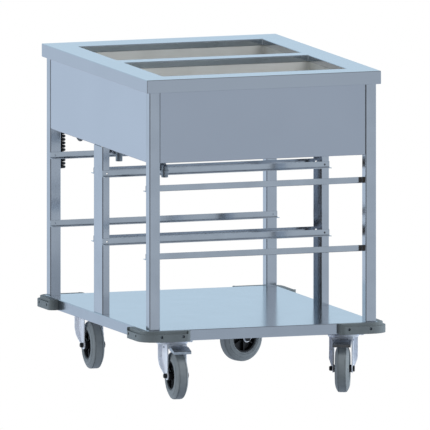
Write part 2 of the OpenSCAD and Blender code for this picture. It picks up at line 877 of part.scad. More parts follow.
// Drain valve: two elbows on a barrel, the ball's housing, two collars and a stem boss
module drain_valve(y, z) color(zinc_c) translate([-drain_x, y, z]) {
    mid = drain_run / 2;
    difference() {
        union() {
            translate([0, 0, -outlet_drop]) cylinder(d = outlet_d, h = outlet_drop);
            translate([0, 0, -outlet_drop + hose_l]) cylinder(d = outlet_d + 4, h = 3);
            bar_y(0, 0, drain_run, 0, outlet_d);
            bar_y(0, mid - housing_l / 2, mid + housing_l / 2, 0, valve_d);
            for (s = [-1, 1])
                translate([0, mid + s * (housing_l / 2 + collar_l / 2), 0])
                    rotate([90, 0, 0]) cylinder(d = valve_d + 1, h = collar_l + 1, center = true, $fn = 6);
            for (end = [0, drain_run])
                translate([0, end, 0]) sphere(d = outlet_d);
            translate([0, drain_run, 0]) cylinder(d = outlet_d, h = outlet_drop);
            translate([0, drain_run, 0]) cylinder(d = pipe_d, h = tub_floor - z);
            bar_x(-valve_d / 2 - stem_boss, 0, mid, 0, stem_boss_d);
        }
        translate([0, 0, -outlet_drop - cut]) cylinder(d = outlet_bore_d, h = outlet_drop + cut);
        bar_y(0, 0, drain_run, 0, outlet_bore_d);
        for (end = [0, drain_run])
            translate([0, end, 0]) sphere(d = outlet_bore_d);
        translate([0, drain_run, 0]) cylinder(d = outlet_bore_d, h = tub_floor - z + cut);
        bar_x(
            -valve_d / 2 - stem_boss - cut, -outlet_bore_d / 2 - 1, mid, 0,
            valve_stem_d + 2 * run_gap
        );
    }
}

// Butterfly handle with its stem, in line with the barrel when the valve is open
module valve_handle(y, z) color(black_c) translate([-drain_x, y + drain_run / 2, z]) {
    face = -valve_d / 2 - stem_boss - handle_gap;
    wing_r = 7;
    bar_x(face - 1, -outlet_bore_d / 2 - 2, 0, 0, valve_stem_d);
    bar_x(face - handle_hub, face, 0, 0, stem_boss_d);
    end_plate(face - handle_hub + 1, face - 1) {
        square([handle_span - 2 * wing_r, wing_r + 1], center = true);
        for (s = [-1, 1])
            translate([s * (handle_span / 2 - wing_r), 0]) circle(r = wing_r);
    }
}

// Thermostat bodies with their shafts, and the housing of the main switch
module control_bodies() color(black_c) {
    inner = panel_y - sheet;
    for (i = [-1, 1]) {
        x = control_x + i * knob_pitch / 2;
        block(
            [x - thermostat / 2, inner - thermostat_depth, knob_z - thermostat / 2],
            [x + thermostat / 2, inner, knob_z + thermostat / 2]
        );
        bar_y(x, inner - cut, panel_y + stem_out, knob_z, stem_d);
    }
    translate([switch_x, panel_y, knob_z])
        difference() {
            union() {
                block([-switch_w / 2, -switch_depth, -switch_h / 2], [switch_w / 2, cut, switch_h / 2]);
                block(
                    [-switch_w / 2 - bezel, 0, -switch_h / 2 - bezel],
                    [switch_w / 2 + bezel, bezel_t, switch_h / 2 + bezel]
                );
            }
            block(
                [-switch_w / 2 + switch_wall, -switch_depth / 2, -switch_h / 2 + switch_wall],
                [switch_w / 2 - switch_wall, bezel_t + cut, switch_h / 2 - switch_wall]
            );
            bar_x(-switch_w / 2 - cut, switch_w / 2 + cut, -rocker_set, 0, rocker_pin_d + 2 * run_gap);
        }
}

// Knob with a skirt, a grip bar and a bore for the thermostat's shaft
module knob(x) color(black_c) translate([x, panel_y + knob_gap, knob_z]) rotate([-90, 0, 0]) {
    skirt_h = 6;
    grip_w = 9;
    r = knob_d / 2;
    difference() {
        union() {
            rotate_extrude()
                polygon([
                    [0, 0], [r, 0], [r, skirt_h - 2], [r - 2, skirt_h], [r - 5, skirt_h],
                    [r - 6, knob_h - 5], [r - 7, knob_h - 4], [0, knob_h - 4]
                ]);
            translate([-grip_w / 2, -r + 1.5, 1]) cube([grip_w, 2 * r - 3, knob_h - 1]);
        }
        translate([0, 0, -cut])
            cylinder(d = stem_d + 2 * run_gap, h = stem_out - knob_gap + fit_gap + cut);
    }
}

module pilot_lamps() color([0.86, 0.52, 0.16]) {
    rim = 2;
    r = lamp_d / 2;
    for (i = [-1, 1])
        translate([control_x + i * knob_pitch / 2, panel_y, lamp_z]) rotate([-90, 0, 0]) {
            translate([0, 0, -lamp_body]) cylinder(d = lamp_neck_d, h = lamp_body + rim);
            rotate_extrude()
                polygon(concat(
                    [[0, 0], [r, 0], [r, rim]],
                    [for (a = [0:10:80]) [(r - 1) * cos(a), rim + (r - 2) * sin(a)]],
                    [[0, rim + r - 2]]
                ));
        }
}

// Rocker of the main switch, drawn in its off position
module main_switch() color([0.72, 0.12, 0.10]) {
    half_w = switch_w / 2 - switch_wall - fit_gap;
    half_h = switch_h / 2 - switch_wall - 1.2;
    translate([switch_x, panel_y - rocker_set, knob_z]) {
        rotate([rocker_tilt, 0, 0])
            end_plate(-half_w, half_w)
                polygon([
                    [-2, -half_h + 0.5], [6.5, -half_h], [4.5, 0], [6.5, half_h], [-2, half_h - 0.5]
                ]);
        bar_x(-switch_w / 2 + 0.2, switch_w / 2 - 0.2, 0, 0, rocker_pin_d);
    }
}

// Cable gland: locknut inside, hexagon and dome outside, and a tapered sleeve
module cable_gland() color(black_c) translate([gland_at[0], panel_y, gland_at[2]]) rotate([-90, 0, 0]) {
    dome = gland_nut_h + gland_dome_h;
    reach = gland_at[1] - panel_y;
    translate([0, 0, -sheet - gland_nut_h]) cylinder(d = gland_nut_d, h = gland_nut_h, $fn = 6);
    translate([0, 0, -sheet - gland_nut_h]) cylinder(d = gland_shank_d, h = sheet + gland_nut_h + 1);
    cylinder(d = gland_nut_d, h = gland_nut_h, $fn = 6);
    rotate_extrude()
        polygon([
            [0, 0], [gland_shank_d / 2 + 2, 0], [gland_shank_d / 2 + 2, dome - 3],
            [gland_shank_d / 2, dome], [cord_d / 2 + 1.5, reach], [0, reach]
        ]);
}

// Cup that keeps the plug, and the half ring that the cord hangs over
module cord_holders() color(black_c) {
    cup_out = plug_r + plug_gap + cup_t;
    cup_end = plug_y + 5;
    hook_out = hook_r - cord_d / 2 - hook_gap;
    lip = hook_y + cord_d / 2 + 0.5;
    difference() {
        bar_y(plug_at[0], panel_y, cup_end, plug_at[1], 2 * cup_out);
        bar_y(plug_at[0], panel_y + cup_floor, cup_end + cut, plug_at[1], 2 * (plug_r + plug_gap));
    }
    translate([hook_at[0], 0, hook_at[1]]) rotate([90, 0, 0])
        rotate_extrude(angle = 180)
            polygon([
                [hook_out - hook_t, -panel_y], [hook_out, -panel_y], [hook_out, -lip],
                [hook_r + 1, -lip], [hook_r + 1, -lip - 3.5], [hook_out - hook_t, -lip - 3.5]
            ]);
}

function unit(v) = v / norm(v);

// Direction of a route at each of its points
function directions(route) = let (last = len(route) - 1)
    [for (i = [0:last]) unit(route[min(i + 1, last)] - route[max(i - 1, 0)])];

// Part of v that stands square to t, at length one
function squared(v, t) = unit(v - (v * t) * t);

// Normals carried along the directions without twist
function carried(dirs, first) =
    [for (i = 0, n = squared(first, dirs[0]); i < len(dirs);
        i = i + 1, n = i < len(dirs) ? squared(n, dirs[i]) : n) n];

// One unbroken round tube along a route, with a ring at each of its points
module tube(route, sides, first) {
    dirs = directions(route);
    norms = carried(dirs, first);
    last = len(route) - 1;
    ring = [for (k = [0:sides - 1]) cord_d / 2 * [cos(k * 360 / sides), sin(k * 360 / sides)]];
    points = [
        for (i = [0:last], p = ring)
            route[i] + p[0] * norms[i] + p[1] * cross(dirs[i], norms[i])
    ];
    walls = [
        for (i = [0:last - 1], k = [0:sides - 1])
            let (a = i * sides + k, b = i * sides + (k + 1) % sides)
            each [[a, a + sides, b], [b, a + sides, b + sides]]
    ];
    caps = [
        for (k = [1:sides - 2], e = [0, 1])
            e == 0 ? [0, k, k + 1] : last * sides * [1, 1, 1] + [0, k + 1, k]
    ];
    polyhedron(points = points, faces = concat(walls, caps));
}

// Curly cord: straight ends, a quarter bend at each, and the curls between them
curl_r = curl_d / 2;
coil_span = coil_top[2] - coil_foot[2];
coil_turns = floor((coil_span - curl_d - 2 * cord_d) / curl_pitch - 0.75) + 0.75;
coil_end = (coil_span - curl_d - coil_turns * curl_pitch) / 2;

function coil_route() =
    let (
        bend = 22.5,
        step = 360 / curl_rings,
        high = coil_top - [0, 0, coil_end],
        low = coil_foot + [0, 0, coil_end],
        axis = high + [curl_r, curl_r, -curl_r]
    )
    concat(
        [coil_top],
        [for (a = [0:bend:90 - bend]) high + curl_r * [1 - cos(a), 0, -sin(a)]],
        [for (k = [0:coil_turns * curl_rings])
            axis + [curl_r * sin(k * step), -curl_r * cos(k * step), -curl_pitch * k / curl_rings]],
        [for (a = [bend:bend:90]) low + curl_r * [0, 1 - sin(a), cos(a)]],
        [coil_foot]
    );

// Least gap of a tube to itself, on points a good half curl apart or more
function least_gap(route, d) = let (last = len(route) - 1)
    min([for (i = [0:last - 5], j = [i + 5:last]) norm(route[i] - route[j])]) - d;

module cord_tail() color(black_c) tube(tail_route, cord_sides, [1, 0, 0]);

module curly_cord() color(black_c) {
    echo(curly_cord_turns = coil_turns, curly_cord_least_gap = least_gap(coil_route(), cord_d));
    tube(coil_route(), curl_sides, [1, 0, 0]);
}

module cord_lead() color(black_c) tube(lead_route, cord_sides, [0, 0, 1]);

// Round two-pin plug with a sleeve towards the cord
module mains_plug() color(black_c) {
    pin_d = 4.8;
    pin_pitch = 19;
    sleeve = plug_at[0] - plug_sleeve_end[0] - 12;
    translate([plug_at[0], plug_y, plug_at[1]]) rotate([-90, 0, 0])
        rotate_extrude()
            polygon([
                [0, 0], [plug_r, 0], [plug_r, plug_l - 6], [plug_r - 3, plug_l - 1],
                [plug_r - 5, plug_l], [0, plug_l]
            ]);
    translate(plug_sleeve_end) rotate([0, 90, 0]) cylinder(d1 = cord_d + 3, d2 = cord_d + 8, h = sleeve);
    for (s = [-1, 1])
        bar_y(plug_at[0] + s * pin_pitch / 2, plug_y - plug_pin_l, plug_y + 1, plug_at[1], pin_d);
}

worktop();
well(well_front_y);  // well_front
well(well_rear_y);  // well_rear
front_panel();
rear_panel();
side_panel(-1);  // left_panel
side_panel(1);  // right_panel
body_floor();
leg(-1, -1);  // leg_front_left
leg(1, -1);  // leg_front_right
leg(-1, 1);  // leg_rear_left
leg(1, 1);  // leg_rear_right
post(-1);  // post_left
post(1);  // post_right
rail_pair(-1, rail_high_z);  // rails_front_upper
rail_pair(-1, rail_low_z);  // rails_front_lower
rail_pair(1, rail_high_z);  // rails_rear_upper
rail_pair(1, rail_low_z);  // rails_rear_lower
base_shelf();
bumper(-1, -1);  // bumper_front_left
bumper(1, -1);  // bumper_front_right
bumper(-1, 1);  // bumper_rear_left
bumper(1, 1);  // bumper_rear_right
bumper_screws();
caster_plates();
caster_bolts();
fork(-1, -1, head_fl);  // fork_front_left
fork(1, -1, head_fr);  // fork_front_right
fork(-1, 1, head_rl);  // fork_rear_left
fork(1, 1, head_rr);  // fork_rear_right
axle(-1, -1, head_fl);  // axle_front_left
axle(1, -1, head_fr);  // axle_front_right
axle(-1, 1, head_rl);  // axle_rear_left
axle(1, 1, head_rr);  // axle_rear_right
tyre(-1, -1, head_fl);  // tyre_front_left
tyre(1, -1, head_fr);  // tyre_front_right
tyre(-1, 1, head_rl);  // tyre_rear_left
tyre(1, 1, head_rr);  // tyre_rear_right
hub(-1, -1, head_fl);  // hub_front_left
hub(1, -1, head_fr);  // hub_front_right
hub(-1, 1, head_rl);  // hub_rear_left
hub(1, 1, head_rr);  // hub_rear_right
brake_pedal(-1, -1, head_fl);  // brake_pedal_left
brake_pedal(1, -1, head_fr);  // brake_pedal_right
heaters();
control_bodies();
drain_valve(well_front_y, valve_front_z);  // drain_valve_front
drain_valve(well_rear_y, valve_rear_z);  // drain_valve_rear
valve_handle(well_front_y, valve_front_z);  // valve_handle_front
valve_handle(well_rear_y, valve_rear_z);  // valve_handle_rear
knob(control_x - knob_pitch / 2);  // knob_front_well
knob(control_x + knob_pitch / 2);  // knob_rear_well
pilot_lamps();
main_switch();
cable_gland();
cord_holders();
cord_tail();
curly_cord();
cord_lead();
mains_plug();
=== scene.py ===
"""Bain marie trolley: sheet-steel case with two wells, runner rails, shelf and casters.

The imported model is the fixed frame. Most pieces are built here with their folds,
rounded edges and finishes, and stand for the frame's own nodes.
"""

from __future__ import annotations

import json
import logging
import math
from dataclasses import dataclass
from enum import Enum
from itertools import product
from typing import ClassVar, Iterable, Sequence

import bmesh
import bpy
from mathutils import Matrix, Vector

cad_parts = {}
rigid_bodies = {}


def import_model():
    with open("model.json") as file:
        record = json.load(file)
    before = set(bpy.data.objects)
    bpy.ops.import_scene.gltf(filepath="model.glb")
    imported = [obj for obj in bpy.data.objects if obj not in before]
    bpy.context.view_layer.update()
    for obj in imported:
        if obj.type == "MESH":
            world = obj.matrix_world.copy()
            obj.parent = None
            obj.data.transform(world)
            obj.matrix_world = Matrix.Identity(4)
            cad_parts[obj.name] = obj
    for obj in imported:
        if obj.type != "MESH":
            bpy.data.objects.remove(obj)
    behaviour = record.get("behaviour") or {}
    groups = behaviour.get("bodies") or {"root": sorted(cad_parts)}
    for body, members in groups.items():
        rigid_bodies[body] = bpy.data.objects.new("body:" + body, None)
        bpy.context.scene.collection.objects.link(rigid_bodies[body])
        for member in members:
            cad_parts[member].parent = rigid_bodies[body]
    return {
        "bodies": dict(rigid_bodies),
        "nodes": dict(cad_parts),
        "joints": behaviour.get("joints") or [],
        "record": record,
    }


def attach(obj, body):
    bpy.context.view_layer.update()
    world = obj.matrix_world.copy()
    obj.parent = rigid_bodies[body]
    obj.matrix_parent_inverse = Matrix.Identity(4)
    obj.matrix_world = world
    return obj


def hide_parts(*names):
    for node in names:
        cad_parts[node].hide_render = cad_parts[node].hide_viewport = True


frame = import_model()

LOG = logging.getLogger("trolley")
MM = 0.001
ROOT = "trolley"
Point2 = tuple[float, float]
Point3 = tuple[float, float, float]
Colour = tuple[float, float, float, float]
Hole = tuple[Vector, Vector, float]
UNTURNED = Matrix.Identity(4)
DRILL_REACH = 5  # millimetres that a hole's cutter stands out of the sheet on each side
SHARP_ABOVE = 32  # degrees that an edge may turn before it counts as sharp
SHARP_AFTER_BEVEL = 50  # the same, once the sharp edges have a bevel
LARGE_FACE_WEIGHT = 80  # how strongly large faces rule the shading
WELD = 0.001  # millimetres between points that become one in a piece
NODE_WELD = 0.002  # the same in the copy of a node
FLAT_BELOW = 0.5  # degrees that two faces of a node's copy may turn and still be merged


# Small tools for nodes and meshes


def linear(colour: str) -> Colour:
    """Turn an sRGB hex colour into linear values.

    Args:
        colour: Six hex digits, such as "B8C6DF".

    Returns:
        Linear red, green, blue and a full alpha.
    """
    parts = [int(colour[i : i + 2], 16) / 255 for i in (0, 2, 4)]
    r, g, b = (c / 12.92 if c <= 0.04045 else ((c + 0.055) / 1.055) ** 2.4 for c in parts)
    return r, g, b, 1.0


def add(tree: bpy.types.NodeTree, kind: str, values: dict[str | int, object] | None = None,
        **settings: object) -> bpy.types.Node:
    """Add a node, set it up and wire it.

    Args:
        tree: Tree that gets the node.
        kind: Blender's name of the node type.
        values: Input name or index to a value, or to the socket that feeds it.
        **settings: Attributes of the node itself.

    Returns:
        The new node.
    """
    made = tree.nodes.new(kind)
    for name, value in settings.items():
        setattr(made, name, value)
    for key, value in (values or {}).items():
        if isinstance(value, bpy.types.NodeSocket):
            tree.links.new(value, made.inputs[key])
        else:
            made.inputs[key].default_value = value
    return made


def cleared(owner: bpy.types.Material | bpy.types.World) -> bpy.types.NodeTree:
    """Switch on the nodes of a material or a world and take out what it starts with.

    Args:
        owner: The material or world.

    Returns:
        Its empty node tree.
    """
    owner.use_nodes = True
    owner.node_tree.nodes.clear()
    return owner.node_tree


def linked(name: str, data: bpy.types.ID) -> bpy.types.Object:
    """Put a new object with the given data into the scene.

    Args:
        name: Name of the object.
        data: Its mesh, curve, camera or light.

    Returns:
        The new object.
    """
    made = bpy.data.objects.new(name, data)
    bpy.context.scene.collection.objects.link(made)
    return made


def placed(at: Point3, degrees: float, axis: str) -> Matrix:
    """Place in the frame, in millimetres, turned about one of its axes."""
    return Matrix.Translation(at) @ Matrix.Rotation(math.radians(degrees), 4, axis)


def arc(centre: Point2, radius: float, start: float, end: float, steps: int) -> list[Point2]:
    """Points of an arc in a plane, both ends included.

    Args:
        centre: Middle of the arc.
        radius: Its radius.
        start: First angle in degrees.
        end: Last angle in degrees.
        steps: Number of stretches.

    Returns:
        The points in order.
    """
    turns = [math.radians(start + (end - start) * i / steps) for i in range(steps + 1)]
    return [(centre[0] + radius * math.cos(t), centre[1] + radius * math.sin(t)) for t in turns]


def circle(radius: float, sides: int, middle: Point2 = (0, 0)) -> list[Point2]:
    """Points of a full circle, the first one not repeated."""
    return arc(middle, radius, 0, 360 - 360 / sides, sides - 1)


def rings(profile: Iterable[Point2], sides: int, place: Matrix = UNTURNED) -> list[list[Vector]]:
    """Rings of a profile that is turned round the local Z axis.

    Args:
        profile: Radius and height of each ring.
        sides: Number of points of a ring.
        place: Puts the rings in the frame.

    Returns:
        The rings in order.
    """
    return [[place @ Vector((x, y, z)) for x, y in circle(r, sides)] for r, z in profile]


def filleted(line: Sequence[Point2], radius: float, steps: int = 5) -> list[Point2]:
    """Round the inner corners of an open line.

    Args:
        line: Corner points in order.
        radius: Bend radius on the line itself.
        steps: Stretches of each bend.

    Returns:
        The line with an arc at each inner corner.
    """
    result = [line[0]]
    for before, corner, after in zip(line, line[1:], line[2:]):
        b, c, a = Vector(before), Vector(corner), Vector(after)
        one, two = (b - c).normalized(), (a - c).normalized()
        half = one.angle(two) / 2
        cut = radius / math.tan(half)
        middle = c + (one + two).normalized() * (radius / math.sin(half))
        start, end = c + one * cut - middle, c + two * cut - middle
        for i in range(steps + 1):
            way = start.lerp(end, i / steps).normalized() * radius
            result.append(tuple(middle + way))
    return result + [line[-1]]


def thickened(line: Sequence[Point2], thickness: float) -> list[Point2]:
    """Give an open line a thickness on its left side.

    Args:
        line: Points of one skin of the sheet.
        thickness: Sheet thickness, negative for the right side.

    Returns:
        Closed outline of the sheet.
    """
    points = [Vector(p) for p in line]
    inner = []
    for i, point in enumerate(points):
        ahead = (points[min(i + 1, len(points) - 1)] - point).normalized()
        behind = (point - points[max(i - 1, 0)]).normalized()
        ahead = ahead if ahead.length else behind
        behind = behind if behind.length else ahead
        across = Vector((-(ahead + behind).y, (ahead + behind).x)).normalized()
        square = Vector((-ahead.y, ahead.x))
        inner.append(tuple(point + across * (thickness / max(across.dot(square), 0.2))))
    return list(line) + inner[::-1]


class Plane(Enum):
    """Plane of an outline, with the axis that it is drawn along."""

    YZ = 0
    XZ = 1
    XY = 2

    def point(self, flat: Point2, along: float) -> Vector:
        """Place a flat point at a distance along the third axis.

        Args:
            flat: Point in the plane.
            along: Distance square to the plane.

        Returns:
            The point in space.
        """
        values = list(flat)
        values.insert(self.value, along)
        return Vector(values)


def rounded_box(half_x: float, half_y: float, radius: float, middle: Point2 = (0, 0),
                steps: int = 4) -> list[Point2]:
    """Outline of a rectangle with round corners, anticlockwise.

    Args:
        half_x: Half its length along X.
        half_y: Half its length along Y.
        radius: Corner radius.
        middle: Its middle.
        steps: Stretches of each corner.

    Returns:
        The outline's points.
    """
    points = []
    for i, j, start in ((1, 1, 0), (-1, 1, 90), (-1, -1, 180), (1, -1, 270)):
        centre = (middle[0] + i * (half_x - radius), middle[1] + j * (half_y - radius))
        points += arc(centre, radius, start, start + 90, steps)
    return points


def at_height(outline: Sequence[Point2], z: float) -> list[Vector]:
    """Lift a flat outline to a height."""
    return [Vector((x, y, z)) for x, y in outline]


class Shape:
    """Mesh under construction in millimetres, from outlines, rings and turned profiles."""

    def __init__(self) -> None:
        """Start with nothing."""
        self.mesh = bmesh.new()

    def prism(self, outline: Sequence[Point2], plane: Plane, low: float, high: float) -> "Shape":
        """Draw a closed outline along the axis square to its plane.

        Args:
            outline: Closed outline, without a repeated point.
            plane: Plane of the outline.
            low: Where the prism starts.
            high: Where it ends.

        Returns:
            This shape.
        """
        return self.stack([[plane.point(p, at) for p in outline] for at in (low, high)])

    def tube(self, outer: Sequence[Point2], inner: Sequence[Point2], plane: Plane, low: float,
             high: float) -> "Shape":
        """Draw a hollow section along the axis square to its plane.

        Args:
            outer: Outer outline.
            inner: Inner outline, with as many points.
            plane: Plane of both.
            low: Where the tube starts.
            high: Where it ends.

        Returns:
            This shape.
        """
        sides = ((outer, low), (outer, high), (inner, high), (inner, low), (outer, low))
        return self.stack([[plane.point(p, at) for p in line] for line, at in sides], capped=False)

    def stack(self, levels: Sequence[Sequence[Vector]], capped: bool = True) -> "Shape":
        """Join rings of equal counts into one skin.

        Args:
            levels: Rings of points, in order.
            capped: Whether the first and last ring get a face.

        Returns:
            This shape.
        """
        made = [[self.mesh.verts.new(p) for p in ring] for ring in levels]
        for one, two in zip(made, made[1:]):
            for i in range(len(one)):
                k = (i + 1) % len(one)
                self.mesh.faces.new((one[i], one[k], two[k], two[i]))
        if capped:
            self.mesh.faces.new(made[0][::-1])
            self.mesh.faces.new(made[-1])
        return self

    def plate(self, loops: Sequence[Sequence[Vector]]) -> "Shape":
        """Fill the flat area between an outer loop and its holes.

        Args:
            loops: The outer loop and the loops of the holes.

        Returns:
            This shape.
        """
        edges = []
        for loop in loops:
            ring = [self.mesh.verts.new(p) for p in loop]
            edges += [self.mesh.edges.new(pair) for pair in zip(ring, ring[1:] + ring[:1])]
        bmesh.ops.triangle_fill(self.mesh, use_beauty=True, use_dissolve=False, edges=edges)
        return self

    def lathe(self, profile: Sequence[Point2], place: Matrix, steps: int = 72) -> "Shape":
        """Turn a closed profile of radius and height round the local Z axis.

        Args:
            profile: Radius and height of each point.
            place: Puts the turned shape in the frame.
            steps: Number of stretches round the axis.

        Returns:
            This shape.
        """
        turned = rings(profile, steps, place)
        return self.stack(turned + turned[:1], capped=False)

    def copy_of(self, node: str) -> "Shape":
        """Take in the merged mesh of a node of the frame.

        Args:
            node: The node's name.

        Returns:
            This shape.
        """
        self.mesh.from_mesh(frame["nodes"][node].data)
        bmesh.ops.scale(self.mesh, vec=(1 / MM,) * 3, verts=self.mesh.verts)
        bmesh.ops.remove_doubles(self.mesh, verts=self.mesh.verts, dist=NODE_WELD)
        bmesh.ops.dissolve_limit(self.mesh, angle_limit=math.radians(FLAT_BELOW), verts=self.mesh.verts,
                                 edges=self.mesh.edges)
        return self

    def raw(self, name: str) -> bpy.types.Object:
        """Turn the mesh into an object in metres.

        Args:
            name: Name of the object.

        Returns:
            The object, closed and with its faces outwards.
        """
        bmesh.ops.remove_doubles(self.mesh, verts=self.mesh.verts, dist=WELD)
        bmesh.ops.dissolve_degenerate(self.mesh, edges=self.mesh.edges, dist=WELD)
        bmesh.ops.recalc_face_normals(self.mesh, faces=self.mesh.faces)
        bmesh.ops.scale(self.mesh, vec=(MM,) * 3, verts=self.mesh.verts)
        data = bpy.data.meshes.new(name)
        self.mesh.to_mesh(data)
        self.mesh.free()
        return linked(name, data)

    def piece(self, name: str, width: float = 0.0, segments: int = 2, sharp: float = SHARP_ABOVE,
              holes: Iterable[Hole] = ()) -> bpy.types.Object:
        """Finish the mesh as a piece of the object.

        Args:
            name: Name of the piece.
            width: Bevel of its sharp edges.
            segments: Segments of that bevel.
            sharp: Edges that turn more than this many degrees get the bevel, or stay sharp.
            holes: Start, end and radius of each drilled hole.

        Returns:
            The new object, a plain mesh.
        """
        made = self.raw(name)
        if holes:
            made = drilled(made, holes)
        return eased(made, width, segments, sharp)


def eased(piece: bpy.types.Object, width: float, segments: int = 2,
          sharp: float = SHARP_ABOVE) -> bpy.types.Object:
    """Round a piece's sharp edges and let its large faces rule the shading.

    Args:
        piece: Closed mesh.
        width: Bevel in millimetres, or nothing.
        segments: Segments of the bevel.
        sharp: Angle in degrees above which an edge counts as sharp.

    Returns:
        The piece, as a plain mesh.
    """
    if width:
        bevel = piece.modifiers.new("bevel", "BEVEL")
        bevel.width, bevel.segments = width * MM, segments
        bevel.limit_method, bevel.angle_limit = "ANGLE", math.radians(sharp)
        piece = baked(piece)
    for face in piece.data.polygons:
        face.use_smooth = True
    piece.data.set_sharp_from_angle(angle=math.radians(SHARP_AFTER_BEVEL if width else sharp))
    normals = piece.modifiers.new("normals", "WEIGHTED_NORMAL")
    normals.mode, normals.weight, normals.keep_sharp = "FACE_AREA", LARGE_FACE_WEIGHT, True
    return baked(piece)


def baked(piece: bpy.types.Object) -> bpy.types.Object:
    """Apply a piece's modifiers, so that a plain mesh is left.

    Args:
        piece: Object with live modifiers.

    Returns:
        The same object, without modifiers.
    """
    graph = bpy.context.evaluated_depsgraph_get()
    data = bpy.data.meshes.new_from_object(piece.evaluated_get(graph))
    old = piece.data
    piece.modifiers.clear()
    piece.data = data
    bpy.data.meshes.remove(old)
    data.name = piece.name
    return piece


def moved(piece: bpy.types.Object, place: Matrix) -> bpy.types.Object:
    """Move a piece's mesh to a place given in millimetres."""
    piece.data.transform(Matrix.Translation(place.translation * MM) @ place.to_3x3().to_4x4())
    return piece


def drilled(piece: bpy.types.Object, holes: Iterable[Hole]) -> bpy.types.Object:
    """Cut round holes in a piece.

    Args:
        piece: Closed mesh that gets the holes.
        holes: Start, end and radius of each hole, in millimetres.

    Returns:
        The piece, as a plain mesh.
    """
    cutter = Shape()
    for start, end, radius in holes:
        way = end - start
        place = Matrix.Translation(start) @ way.to_track_quat("Z", "Y").to_matrix().to_4x4()
        cutter.stack(rings([(radius, 0), (radius, way.length)], 28, place))
    return carved(piece, cutter)


def carved(piece: bpy.types.Object, cutter: Shape) -> bpy.types.Object:
    """Take a shape out of a piece.

    Args:
        piece: Closed mesh.
        cutter: Closed shape that is cut away.

    Returns:
        The piece, as a plain mesh.
    """
    tool = cutter.raw("cutter")
    cut = piece.modifiers.new("cut", "BOOLEAN")
    cut.operation, cut.object, cut.solver = "DIFFERENCE", tool, "EXACT"
    piece = baked(piece)
    bpy.data.objects.remove(tool)
    return piece


def fit(piece: bpy.types.Object, body: str, finish: "Finish",
        nodes: Iterable[str] = ()) -> bpy.types.Object:
    """Give a piece its finish, the body that it rides on and the nodes that it stands for.

    Args:
        piece: The finished object.
        body: Name of the moving body.
        finish: Its surface.
        nodes: Nodes of the frame that it replaces.

    Returns:
        The same object.
    """
    piece.data.materials.clear()
    piece.data.materials.append(finish.material())
    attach(piece, body)
    if nodes:
        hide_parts(*nodes)
    LOG.info("%s rides on %s", piece.name, body)
    return piece


def soften(name: str, node: str, width: float, body: str, finish: "Finish",
           segments: int = 2) -> bpy.types.Object:
    """Copy a node with its sharp edges rounded, and dress the copy.

    Args:
        name: Name of the new piece.
        node: The node of the frame, which the piece replaces.
        width: Width of the rounding in millimetres.
        body: Name of the moving body.
        finish: Its surface.
        segments: Segments of the rounding.

    Returns:
        The new object.
    """
    return fit(Shape().copy_of(node).piece(name, width, segments), body, finish, (node,))


# Finishes


def blended(tree: bpy.types.NodeTree, amount: bpy.types.NodeSocket, first: Colour | bpy.types.NodeSocket,
            second: Colour | bpy.types.NodeSocket) -> bpy.types.NodeSocket:
    """Mix two colours or colour sockets.

    Args:
        tree: Tree that gets the node.
        amount: Share of the second colour.
        first: Colour at no share.
        second: Colour at full share.

    Returns:
        The mixed colour.
    """
    mix = add(tree, "ShaderNodeMix", {"Factor": amount}, data_type="RGBA")
    colours = [item for item in mix.inputs if item.type == "RGBA"]
    for socket, value in zip(colours, (first, second)):
        if isinstance(value, bpy.types.NodeSocket):
            tree.links.new(value, socket)
        else:
            socket.default_value = value
    return mix.outputs["Result"]


